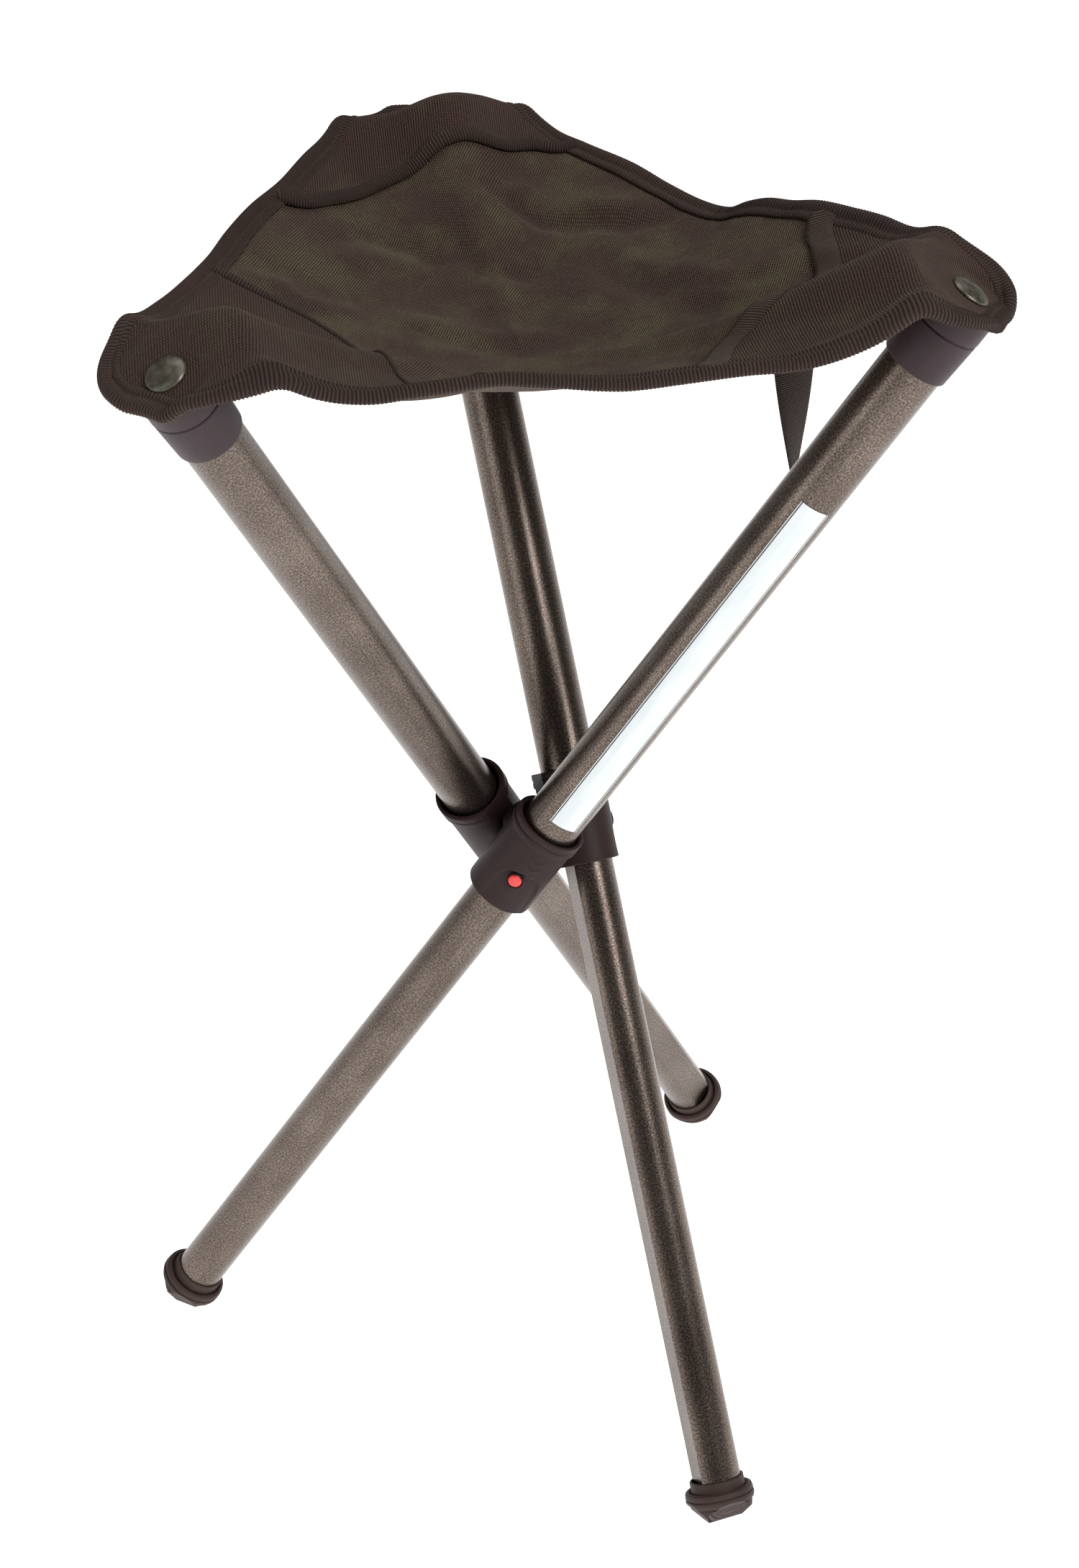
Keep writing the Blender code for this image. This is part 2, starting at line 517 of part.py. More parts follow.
def build_seat():
    place = Matrix.Translation((HUB_X, HUB_Y, 0))
    n = len(AZIMUTHS)
    count = len(rows_at(0.0))
    half = 1 + count * n
    verts, faces = [], []
    for lift in (-PANEL_T, 0.0):
        verts.append(on_seat(0.0, 0.0, lift))
        for i in range(count):
            verts += [node_of(az, rows_at(az)[i], lift) for az in AZIMUTHS]
    for base in (0, half):
        for j in range(n):
            k = (j + 1) % n
            faces.append((base, base + 1 + j, base + 1 + k))
            for i in range(count - 1):
                a = base + 1 + i * n
                faces += [(a + j, a + k, a + n + k), (a + j, a + n + k, a + n + j)]
    rim = 1 + (count - 1) * n
    for j in range(n):
        faces.append((rim + j, rim + (j + 1) % n, half + rim + (j + 1) % n, half + rim + j))
    panel = make("seat_panel", verts, faces, M_CLOTH)
    cut(panel, [rivet_hole(k) for k in CORNERS])
    settle(panel, place)

    # corner patches, from a seam across the corner out to the binding, and the tape on each seam
    for key in CORNERS:
        azs = [CORNERS[key] + step for step in SECTOR if abs(step) <= PATCH_HALF]
        patch = layer("corner_patch_" + key, azs, ROW_SEAM, ROW_PATCH_END, GAP, GAP + PATCH_T, M_CLOTH)
        cut(patch, [rivet_hole(key)])
        settle(patch, place)
        low = GAP + PATCH_T + GAP
        settle(layer("seam_tape_" + key, azs, ROW_SEAM - 1, ROW_SEAM + 1, low, low + TAPE_T, M_TAPE), place)

    # binding: one tape folded round the panel's edge
    t, g, lo = 1.1, GAP, -PANEL_T
    section = [(BIND_W, g), (BIND_W, g + t), (4.5, g + t), (RIM_INSET, g + t), (0.4, g + t - 0.6),
               (0.0, lo / 2), (0.4, lo - g - t + 0.6), (RIM_INSET, lo - g - t), (4.5, lo - g - t),
               (4.5, lo - g), (RIM_INSET, lo - g),
               (RIM_INSET - 0.8, lo - g), (RIM_INSET - 0.8, g), (RIM_INSET, g), (4.5, g)]
    verts, faces = [], []
    k = len(section)
    for az in AZIMUTHS:
        verts += [node_of(az, outline(az) - inset, lift) for inset, lift in section]
    for i in range(n):
        for j in range(k):
            a, b = i * k, ((i + 1) % n) * k
            j2 = (j + 1) % k
            if section[j][0] >= section[j2][0]:
                faces += [(a + j, b + j, b + j2), (a + j, b + j2, a + j2)]
            else:
                faces += [(a + j, b + j, a + j2), (b + j, b + j2, a + j2)]
    settle(make("edge_binding", verts, faces, M_TAPE), place)

    # carrying strap: sewn under the binding of the b-c edge, hanging free
    az = STRAP_AZ
    x = (outline(az) - 3.0) * math.cos(math.radians(az))
    y = (outline(az) - 3.0) * math.sin(math.radians(az))
    top = on_seat(x, y, 0).z - PANEL_T - GAP - 1.1 - 3.0
    half, thick = STRAP_W / 2, STRAP_T / 2
    loops = []
    for step in range(STRAP_STEPS + 1):
        f = step / STRAP_STEPS
        t = math.radians(120.0 + STRAP_TWIST * f)
        ux, uy, vx, vy = math.cos(t), math.sin(t), math.sin(t), -math.cos(t)
        cx = x + STRAP_DRIFT * f
        loops.append([(cx + ux * a + vx * b, y + uy * a + vy * b, top - STRAP_LENGTH * f)
                      for a, b in ((-half, -thick), (half, -thick), (half, thick), (-half, thick))])
    verts, faces = skin(loops, False, True, split=True)
    strap = make("hang_strap", verts, faces, M_TAPE)
    settle(strap, place)


def build_label():
    """A plain pale strip round part of leg b's upper tube."""
    rows = []
    for z in (31.0, 204.0):
        row = []
        for r, degrees in ((12.05, range(-18, 43, 10)), (11.85, range(42, -19, -10))):
            row += [(r * math.cos(math.radians(d)), r * math.sin(math.radians(d)), z) for d in degrees]
        rows.append(row)
    verts, faces = skin(rows, False, True)
    label = make("plain_label", verts, faces, M_LABEL)
    settle(label, leg_matrix("b"), Vector((HUB_X, HUB_Y, HUB_Z)))


build_hub()
for leg in CORNERS:
    build_leg(leg)
build_seat()
build_label()
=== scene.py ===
"""Looks of the folding three leg stool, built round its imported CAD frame.

Lengths are millimetres until a mesh is made, but the camera and lights are placed in metres. Each
leg's pieces are drawn in its own frame: Z up the leg, X away from the hub, Y downhill, origin at the
pivot. The seat is drawn in plan coordinates with the hub at their centre.
"""
import json
import math

import bmesh
import bpy
import numpy as np
from mathutils import Matrix, Vector


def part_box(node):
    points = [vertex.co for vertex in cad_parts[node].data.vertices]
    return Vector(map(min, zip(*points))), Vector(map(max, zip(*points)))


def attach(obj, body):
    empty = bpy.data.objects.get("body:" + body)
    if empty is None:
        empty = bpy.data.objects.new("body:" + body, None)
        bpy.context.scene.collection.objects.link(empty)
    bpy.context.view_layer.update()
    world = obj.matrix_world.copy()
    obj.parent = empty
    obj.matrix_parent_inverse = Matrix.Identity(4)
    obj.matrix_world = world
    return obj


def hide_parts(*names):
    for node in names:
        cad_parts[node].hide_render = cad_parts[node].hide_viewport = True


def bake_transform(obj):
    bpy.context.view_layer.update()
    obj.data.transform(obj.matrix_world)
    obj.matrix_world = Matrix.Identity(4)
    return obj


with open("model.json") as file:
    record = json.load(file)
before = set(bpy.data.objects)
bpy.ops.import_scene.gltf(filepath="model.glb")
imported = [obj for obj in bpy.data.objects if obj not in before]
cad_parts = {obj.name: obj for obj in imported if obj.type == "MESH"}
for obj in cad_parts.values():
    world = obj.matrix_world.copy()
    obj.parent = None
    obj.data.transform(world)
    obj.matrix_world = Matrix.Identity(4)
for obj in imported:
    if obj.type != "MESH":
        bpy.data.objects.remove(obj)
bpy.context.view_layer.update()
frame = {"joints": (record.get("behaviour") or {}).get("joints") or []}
MM = 0.001
KEYS = ("a", "b", "c")

# ---- what the frame says
JOINTS = {j["name"]: j for j in frame["joints"]}
HUB = Vector(JOINTS["fold_a"]["pos_m"]) / MM
OFFSET = 22.3                    # leg axis to the hub's centre line
TILT = math.acos(JOINTS["slide_a"]["axis"][2])
TWIST = 7.8                      # a leg's top leads its seat corner by this angle
CORNERS = {"a": 210.0, "b": 330.0, "c": 90.0}
HUB_Z = HUB.z

# ---- lengths shared with the CAD model
UPPER_R, LOWER_R, LOWER_FLAT, WALL = 11.7, 10.3, 8.4, 1.0
UPPER_BOT, UPPER_TOP = -8.5, 291.5
LOWER_BOT, LOWER_TOP = -283.0, 16.0
SLEEVE_TOP, SLEEVE_STEP, SLEEVE_BOT = 23.0, 17.0, -17.0
SLEEVE_R, COLLAR_R, SLEEVE_ECC, PAD_X = 14.3, 15.2, 0.9, 14.4
BUTTON_Z, BUTTON_R = -1.0, 2.9
BUTTON_BACK, BUTTON_FRONT = 12.2, 14.0
CUP_BOT, CUP_TOP, CUP_R = 268.0, 298.0, 13.8
PANEL_S, PANEL_T, PATCH_T, GAP = 299.3, 0.8, 0.9, 0.3
FOOT_R = 14.5

# ---- seat outline and height
CORNER_R, CORNER_IN = 38.0, 20.0
Z_CENTRE, Z_MID, Z_NEAR, Z_LEVEL, Z_RIDGE = 458.0, 492.0, 498.0, 499.5, 541.0
RIDGE_WIDTH = 8.0
EASE = (30.0, 30.0, 9.0)          # how gently the cloth leaves each corner's flat plate
SOFT_JOIN = 5.0                  # how softly the bowl, the plates and the rim's level meet
FRONT_AZ, LIP_RISE = 268.0, 2.6  # the middle of the front edge's lip, and its height


# ---- node helpers
BAND_PITCH = 0.314               # how often a band texture repeats at scale 1


def fill_ramp(node, stops):
    """Sets a colour ramp's elements from (position, rgb) pairs."""
    elements = node.color_ramp.elements
    while len(elements) < len(stops):
        elements.new(0.5)
    for item, (at, rgb) in zip(elements, stops):
        item.position = at
        item.color = (*rgb, 1.0)


class Nodes:
    """Short calls for building one material's node tree."""

    def __init__(self, name):
        self.mat = bpy.data.materials.new(name)
        self.mat.use_nodes = True
        self.tree = self.mat.node_tree
        self.bsdf = self.tree.nodes["Principled BSDF"]

    def add(self, kind, inputs=None, **props):
        node = self.tree.nodes.new(kind)
        for key, value in props.items():
            setattr(node, key, value)
        for key, value in (inputs or {}).items():
            if isinstance(value, bpy.types.NodeSocket):
                self.tree.links.new(value, node.inputs[key])
            else:
                node.inputs[key].default_value = value
        return node

    def place(self, scale=(1, 1, 1), uv=False, rotation=(0, 0, 0)):
        co = self.add("ShaderNodeTexCoord").outputs["UV" if uv else "Object"]
        return self.add("ShaderNodeMapping", {"Vector": co, "Scale": scale, "Rotation": rotation}).outputs[0]

    def noise(self, vector, scale, detail=3.0, rough=0.55):
        return self.add("ShaderNodeTexNoise", {"Vector": vector, "Scale": scale, "Detail": detail,
                                               "Roughness": rough}).outputs["Fac"]

    def ramp(self, fac, stops):
        node = self.add("ShaderNodeValToRGB", {"Fac": fac})
        fill_ramp(node, stops)
        return node.outputs["Color"]

    def span(self, fac, lo, hi):
        return self.add("ShaderNodeMapRange", {"Value": fac, "To Min": lo, "To Max": hi}).outputs[0]

    def math(self, op, a, b=0.5):
        return self.add("ShaderNodeMath", {0: a, 1: b}, operation=op).outputs[0]

    def mixed(self, a, b, share):
        """One share of a and the rest of b, added."""
        return self.math("ADD", self.math("MULTIPLY", a, share), self.math("MULTIPLY", b, 1.0 - share))

    def scaled(self, colour, by):
        return self.add("ShaderNodeVectorMath", {0: colour, "Scale": by}, operation="SCALE").outputs[0]

    def bands(self, axis, scale, distortion, detail, detail_scale, slant=0.0, phase=0.0):
        """Wavy parallel bands over the UV map, for threads and ribs."""
        inputs = {"Vector": self.place(uv=True, rotation=(0, 0, slant)), "Scale": scale,
                  "Distortion": distortion, "Detail": detail, "Detail Scale": detail_scale,
                  "Phase Offset": phase}
        return self.add("ShaderNodeTexWave", inputs, wave_type="BANDS", bands_direction=axis).outputs["Fac"]

    def bump(self, height, strength, distance, normal=None):
        inputs = {"Height": height, "Strength": strength, "Distance": distance}
        if normal is not None:
            inputs["Normal"] = normal
        return self.add("ShaderNodeBump", inputs).outputs[0]

    def set(self, **values):
        for key, value in values.items():
            socket = self.bsdf.inputs[key.replace("_", " ")]
            if isinstance(value, bpy.types.NodeSocket):
                self.tree.links.new(value, socket)
            else:
                socket.default_value = value
        return self.mat


# ---- materials
def tube_metal():
    """Bronze anodised aluminium: fine grain, faint lines along the tube, a few handling marks."""
    n = Nodes("bronze_anodised_tube")
    uv = n.place(uv=True)
    lines = n.noise(n.place((900, 12, 1), uv=True), 1.0, 2.0)
    grain = n.noise(uv, 1300.0, 2.0)
    cloudy = n.noise(uv, 26.0, 3.0)
    tone = n.ramp(n.mixed(grain, cloudy, 0.75),
                  [(0.32, (0.045, 0.033, 0.027)), (0.5, (0.125, 0.097, 0.081)), (0.68, (0.27, 0.225, 0.19))])
    rough = n.span(n.mixed(grain, lines, 0.5), 0.20, 0.38)
    bump = n.bump(lines, 0.10, 0.0002, n.bump(grain, 0.32, 0.0002))
    return n.set(Base_Color=tone, Metallic=0.9, Roughness=rough, Normal=bump)


def moulded(name, rgb, rough, grain_mm, depth, specular=0.45):
    """Moulded plastic or rubber with a fine eroded texture and slightly uneven tone."""
    n = Nodes(name)
    co = n.place()
    fine = n.noise(co, 1.0 / (grain_mm * MM), 3.0, 0.65)
    broad = n.noise(co, 55.0, 3.0)
    low = tuple(c * 0.72 for c in rgb)
    high = tuple(min(1.0, c * 1.35) for c in rgb)
    tone = n.ramp(n.mixed(fine, broad, 0.5), [(0.3, low), (0.5, rgb), (0.72, high)])
    return n.set(Base_Color=tone, Roughness=n.span(fine, rough - 0.08, rough + 0.10),
                 Specular_IOR_Level=specular, Normal=n.bump(fine, 0.5, depth * MM))


def weave(name, thread_mm, warm, olive, olive_at, rib_depth, slant):
    """Woven cloth from two crossed threads, with a tone that drifts between brown and olive, and painted
    light and shade on the threads.
    """
    n = Nodes(name)
    scale = 0.5 / (thread_mm * MM)       # the X bands repeat every 0.63 thread_mm
    a = n.bands("X", scale, 1.2, 2.0, 1.4, slant)
    b = n.bands("Y", scale * 0.8, 1.5, 2.0, 1.4, slant)
    thread = n.math("MULTIPLY", a, n.span(b, 0.45, 1.0))
    fleck = n.noise(n.place(uv=True), 700.0, 4.0, 0.75)
    drift = n.noise(n.place(uv=True), 34.0, 3.0, 0.6)
    base = n.ramp(drift, [(olive_at - 0.09, warm), (olive_at + 0.09, olive)])
    # the thread pattern scales the colour: painted highlight on the threads, painted shade between them; the
    # flecks are the cloth's own tone
    tone = n.scaled(base, n.span(n.mixed(thread, fleck, 0.6), -0.35, 2.75))
    bump = n.bump(thread, 1.0, rib_depth * MM, n.bump(fleck, 0.5, 0.0003))
    return n.set(Base_Color=tone, Roughness=0.86, Specular_IOR_Level=0.25, Sheen_Weight=0.16,
                 Sheen_Roughness=0.45, Sheen_Tint=(0.70, 0.58, 0.46, 1.0), Normal=bump)


def ribbed_tape(name, rgb, rib_mm):
    """Grosgrain tape: strong ribs across, thread flecks, and painted light and shade: lighter rib tops,
    darker grooves.
    """
    n = Nodes(name)
    ribs = n.bands("X", BAND_PITCH / (rib_mm * MM), 0.6, 2.0, 1.2, phase=math.pi)
    cross = n.bands("Y", 0.5 / 0.0007, 1.0, 1.0, 1.0)
    fleck = n.noise(n.place(uv=True), 1500.0, 3.0, 0.7)
    body = n.math("MULTIPLY", ribs, n.span(cross, 0.7, 1.0))
    base = n.ramp(n.noise(n.place(uv=True), 30.0, 2.0), [(0.35, rgb), (0.7, tuple(c * 1.25 for c in rgb))])
    # the rib pattern scales the colour: painted highlight on the ribs, painted shade in the grooves; the
    # flecks are the tape's own tone
    tone = n.scaled(base, n.span(n.mixed(body, fleck, 0.7), -0.1, 2.7))
    bump = n.bump(body, 0.9, 0.00055, n.bump(fleck, 0.3, 0.0002))
    return n.set(Base_Color=tone, Roughness=0.82, Specular_IOR_Level=0.25, Sheen_Weight=0.12,
                 Sheen_Roughness=0.4, Sheen_Tint=(0.70, 0.56, 0.46, 1.0), Normal=bump)


def painted_rivet():
    n = Nodes("rivet_paint")
    co = n.place()
    wear = n.noise(co, 240.0, 4.0, 0.6)
    tone = n.ramp(wear, [(0.34, (0.060, 0.056, 0.040)), (0.52, (0.115, 0.108, 0.082)),
                         (0.74, (0.20, 0.19, 0.155))])
    return n.set(Base_Color=tone, Metallic=0.45, Roughness=n.span(wear, 0.26, 0.44),
                 Normal=n.bump(n.noise(co, 1500.0, 2.0), 0.12, 0.0002))


def red_button():
    n = Nodes("button_red")
    fine = n.noise(n.place(), 900.0, 2.0)
    tone = n.ramp(n.noise(n.place(), 160.0, 3.0), [(0.3, (0.62, 0.028, 0.028)), (0.7, (0.83, 0.055, 0.05))])
    return n.set(Base_Color=tone, Roughness=n.span(fine, 0.24, 0.40), Coat_Weight=0.25, Coat_Roughness=0.25,
                 Normal=n.bump(fine, 0.12, 0.0002))


def bright_steel():
    n = Nodes("clip_steel")
    brushed = n.noise(n.place((1, 1, 30)), 300.0, 3.0)
    return n.set(Base_Color=n.ramp(brushed, [(0.3, (0.42, 0.42, 0.41)), (0.7, (0.62, 0.62, 0.60))]),
                 Metallic=1.0, Roughness=n.span(brushed, 0.24, 0.42), Normal=n.bump(brushed, 0.1, 0.0001))


def label_film():
    """Plain film: a pale field with a dark rule down both long edges."""
    n = Nodes("label_film_plain")
    co = n.add("ShaderNodeSeparateXYZ", {0: n.place(uv=True)}).outputs
    across = n.math("ABSOLUTE", n.math("SUBTRACT", co["X"], 0.5))
    edge = n.math("MULTIPLY", n.math("GREATER_THAN", across, 0.435), n.math("LESS_THAN", across, 0.475))
    paper = n.noise(n.place((0.6, 8.0, 1), uv=True), 5.0, 3.0)
    pale = n.ramp(paper, [(0.3, (0.66, 0.72, 0.74)), (0.7, (0.80, 0.84, 0.85))])
    rule = (0.05, 0.045, 0.04, 1.0)
    tone = n.add("ShaderNodeMix", {0: edge, 6: pale, 7: rule}, data_type="RGBA").outputs[2]
    return n.set(Base_Color=tone, Roughness=n.span(paper, 0.30, 0.42), Coat_Weight=0.3, Coat_Roughness=0.2,
                 Normal=n.bump(paper, 0.05, 0.0002))


WARM = (0.056, 0.0300, 0.0240)
OLIVE = (0.078, 0.0600, 0.0330)
PATCH_WARM = (0.046, 0.0230, 0.0185)
PATCH_OLIVE = (0.060, 0.0430, 0.0260)
M_TUBE = tube_metal()
M_SLEEVE = moulded("sleeve_nylon", (0.028, 0.0135, 0.0135), 0.48, 0.55, 0.13, 0.20)
M_HUB = moulded("hub_nylon", (0.020, 0.011, 0.010), 0.52, 0.6, 0.08, 0.22)
M_CUP = moulded("cup_nylon", (0.038, 0.022, 0.026), 0.48, 0.7, 0.06, 0.26)
M_FOOT = moulded("foot_rubber", (0.056, 0.034, 0.029), 0.60, 0.6, 0.10, 0.26)
M_BUSH = moulded("bush_acetal", (0.62, 0.61, 0.57), 0.4, 0.8, 0.03)
M_RIVET = painted_rivet()
M_BUTTON = red_button()
M_STEEL = bright_steel()
M_LABEL = label_film()
M_PANEL = weave("panel_twill", 1.45, WARM, OLIVE, 0.53, 0.42, 0.55)
M_PATCH = weave("patch_twill", 1.55, PATCH_WARM, PATCH_OLIVE, 0.62, 0.46, 0.12)
M_BINDING = ribbed_tape("binding_grosgrain", (0.030, 0.0170, 0.0135), 1.4)
M_TAPE = ribbed_tape("seam_grosgrain", (0.030, 0.0165, 0.0130), 1.1)
M_WEBBING = ribbed_tape("strap_webbing", (0.020, 0.0130, 0.0105), 0.9)


# ---- mesh helpers
def plain_object(name, data):
    ob = bpy.data.objects.new(name, data)
    bpy.context.scene.collection.objects.link(ob)
    return ob


def finish_mesh(name, mesh, mat, body, replaces=(), sharp=None):
    for polygon in mesh.polygons:
        polygon.use_smooth = True
    if sharp is not None:
        mesh.set_sharp_from_angle(angle=math.radians(sharp))
    mesh.materials.append(mat)
    ob = plain_object(name, mesh)
    if body is not None:
        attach(ob, body)
    if replaces:
        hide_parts(*replaces)
    return ob


def grid_mesh(name, points, uv, wrap_rows=False, wrap_cols=False, flip=False):
    """A mesh from points[row][col] in millimetres. uv has one more row or column where it wraps."""
    points = np.asarray(points, float)
    rows, cols = points.shape[:2]
    r_faces, c_faces = rows if wrap_rows else rows - 1, cols if wrap_cols else cols - 1
    i, j = np.meshgrid(np.arange(r_faces), np.arange(c_faces), indexing="ij")
    i2, j2 = (i + 1) % rows, (j + 1) % cols
    quads = np.stack([i * cols + j, i * cols + j2, i2 * cols + j2, i2 * cols + j], -1).reshape(-1, 4)
    uv = np.asarray(uv, float)
    corner = np.stack([uv[i, j], uv[i, j + 1], uv[i + 1, j + 1], uv[i + 1, j]], 2).reshape(-1, 2)
    if flip:
        quads = quads[:, ::-1]
        corner = corner.reshape(-1, 4, 2)[:, ::-1].reshape(-1, 2)
    mesh = bpy.data.meshes.new(name)
    mesh.from_pydata((points.reshape(-1, 3) * MM).tolist(), [], quads.tolist())
    layer = mesh.uv_layers.new(name="UVMap")
    layer.data.foreach_set("uv", corner.astype(np.float32).ravel())
    return mesh


def uv_grid(u, v):
    """UV pairs from a row and a column of values, either way round."""
    return np.stack(np.broadcast_arrays(u, v), -1)


def bend(a, p, b, t):
    """A point at t, from 0 to 1, on the curve from a to b that leans towards p."""
    return tuple((1 - t) ** 2 * a + 2 * t * (1 - t) * p + t * t * b)


def wrap(degrees):
    return (degrees + 180.0) % 360.0 - 180.0


def rounded(points, steps=4):
    """A polyline of (r, z, fillet) whose corners are rounded by their fillet radius."""
    out = []
    for k, (r, z, f) in enumerate(points):
        if f <= 0 or k in (0, len(points) - 1):
            out.append((r, z))
            continue
        p = np.array((r, z))
        before, after = np.array(points[k - 1][:2]) - p, np.array(points[k + 1][:2]) - p
        la, lb = np.linalg.norm(before), np.linalg.norm(after)
        reach = min(f, la * 0.49, lb * 0.49)
        a, b = p + before / la * reach, p + after / lb * reach
        out += [bend(a, p, b, k / steps) for k in range(steps + 1)]
    return out


def arc_lengths(points):
    d = np.linalg.norm(np.diff(np.asarray(points, float), axis=0), axis=1)
    return np.concatenate([[0.0], np.cumsum(d)])


def turned(name, profile, segs, closed=True, shape=None):
    """Turns (r, z) points about Z. shape(angle, r, z, index) may move each point."""
    path = list(profile) + ([profile[0]] if closed else [])
    length = arc_lengths(path)
    angles = np.arange(segs) * 2 * math.pi / segs
    points = np.zeros((len(profile), segs, 3))
    for k, (r, z) in enumerate(profile):
        for j, t in enumerate(angles):
            points[k, j] = shape(t, r, z, k) if shape else (r * math.cos(t), r * math.sin(t), z)
    widest = max(p[0] for p in profile)
    u = np.arange(segs + 1) / segs * 2 * math.pi * widest * MM
    uv = uv_grid(u[None, :], (length * MM)[:, None])
    mesh = grid_mesh(name, points, uv, wrap_rows=closed, wrap_cols=True)
    return mesh if closed else capped(mesh, len(profile), segs)


def capped(mesh, rows, cols):
    """Closes the first and last loops of a skin with one face each."""
    bm = bmesh.new()
    bm.from_mesh(mesh)
    bm.verts.ensure_lookup_table()
    for row in (0, rows - 1):
        bm.faces.new([bm.verts[row * cols + k] for k in range(cols)])
    bm.to_mesh(mesh)
    bm.free()
    return outward(mesh)


def outward(mesh):
    """Makes a closed mesh's faces point outwards."""
    bm = bmesh.new()
    bm.from_mesh(mesh)
    bmesh.ops.recalc_face_normals(bm, faces=bm.faces)
    bm.to_mesh(mesh)
    bm.free()
    return mesh


def leg_matrix(key):
    out = Vector(JOINTS["fold_" + key]["axis"]).normalized()
    up = Vector(JOINTS["slide_" + key]["axis"]).normalized()
    down = up.cross(out)
    origin = (HUB + out * OFFSET) * MM
    m = Matrix.Identity(4)
    for i in range(3):
        m[i][0], m[i][1], m[i][2], m[i][3] = out[i], down[i], up[i], origin[i]
    return m


def on_leg(mesh, key):
    outward(mesh)
    mesh.transform(leg_matrix(key))
    return mesh


def smooth(t):
    t = np.clip(t, 0.0, 1.0)
    return t * t * (3 - 2 * t)


def cut_all(ob, cutters):
    """Applies Boolean cuts and returns the cut mesh; the working objects are removed."""
    for c in cutters:
        m = ob.modifiers.new("cut", "BOOLEAN")
        m.operation, m.solver, m.object = "DIFFERENCE", "EXACT", c
    dg = bpy.context.evaluated_depsgraph_get()
    mesh = bpy.data.meshes.new_from_object(ob.evaluated_get(dg))
    for o in [ob] + cutters:
        bpy.data.objects.remove(o, do_unlink=True)
    return mesh


def across_leg(mesh):
    """Turns a lathe about Z to lie along X, at the height of the button."""
    mesh.transform(Matrix.Translation((0, 0, BUTTON_Z * MM)) @ Matrix.Rotation(math.pi / 2, 4, "Y"))
    return mesh


TUBE_HOLE, SLEEVE_HOLE = 0.5, 0.4        # clearance round the button
HOLE_FROM, HOLE_TO = 6.0, 20.0


def with_button_hole(mesh, clearance):
    """Cuts the hole that the button passes through, in one wall."""
    r = BUTTON_R + clearance
    drill = [(0.001, HOLE_FROM), (r, HOLE_FROM), (r, HOLE_TO), (0.001, HOLE_TO)]
    tool = across_leg(turned("hole", drill, 48, closed=False))
    return cut_all(plain_object("drilled", outward(mesh)), [plain_object("hole", outward(tool))])


# ---- legs
def build_tubes(key):
    wall = [(UPPER_R - WALL, UPPER_BOT), (UPPER_R, UPPER_BOT), (UPPER_R, 130.0), (UPPER_R, UPPER_TOP),
            (UPPER_R - WALL, UPPER_TOP)]
    upper = with_button_hole(turned("upper", wall, 96), TUBE_HOLE)
    finish_mesh("upper_tube_skin_" + key, on_leg(upper, key), M_TUBE, "leg_" + key,
                ["upper_tube_" + key], 40)

    def d_section(t, r, z, k):
        flat = LOWER_FLAT if r > LOWER_R - 0.5 * WALL else LOWER_FLAT - WALL
        return max(r * math.cos(t), -flat), r * math.sin(t), z

    lower = [(LOWER_R - WALL, LOWER_BOT), (LOWER_R, LOWER_BOT), (LOWER_R, -130.0), (LOWER_R, LOWER_TOP),
             (LOWER_R - WALL, LOWER_TOP)]
    shank = on_leg(turned("lower", lower, 180, shape=d_section), key)
    finish_mesh("lower_tube_skin_" + key, shank, M_TUBE, "shank_" + key, ["lower_tube_" + key], 20)


SCOOP_MID, SCOOP_HALF, SCOOP_TOP, SCOOP_DEPTH = 11.0, 46.0, 3.4, 1.2
CHEVRON_LOW, CHEVRON_HIGH, CHEVRON_RISE = 3.0, 16.0, 0.32


def scoop(t, z):
    """How far the thumb recess cuts in, at an angle in radians from +X and a height up the sleeve."""
    d = wrap(math.degrees(t)) - SCOOP_MID
    if abs(d) >= SCOOP_HALF:
        return 0.0
    reach = SCOOP_TOP - SLEEVE_BOT
    top = SLEEVE_BOT + reach * (1 - abs(d / SCOOP_HALF) ** 3) ** (1 / 3)
    under = top - z
    if under <= 0:
        return 0.0
    step = float(smooth(under / 0.7))
    fade = max(0.0, (z - SLEEVE_BOT) / reach)
    return SCOOP_DEPTH * step * (0.25 + 0.75 * fade) * float(smooth((SCOOP_HALF - abs(d)) / 9.0))


def chevrons(t, z):
    """Two plain raised arrows over the button."""
    d = math.radians(wrap(math.degrees(t)) - SCOOP_MID) * SLEEVE_R
    rise = 0.0
    for base in (6.6, 10.2):
        off = abs(z - (base + 0.62 * abs(d)))
        rise = max(rise, float(smooth((0.75 - off) / 0.4)) * float(smooth((3.6 - abs(d)) / 0.6)))
    return CHEVRON_RISE * rise


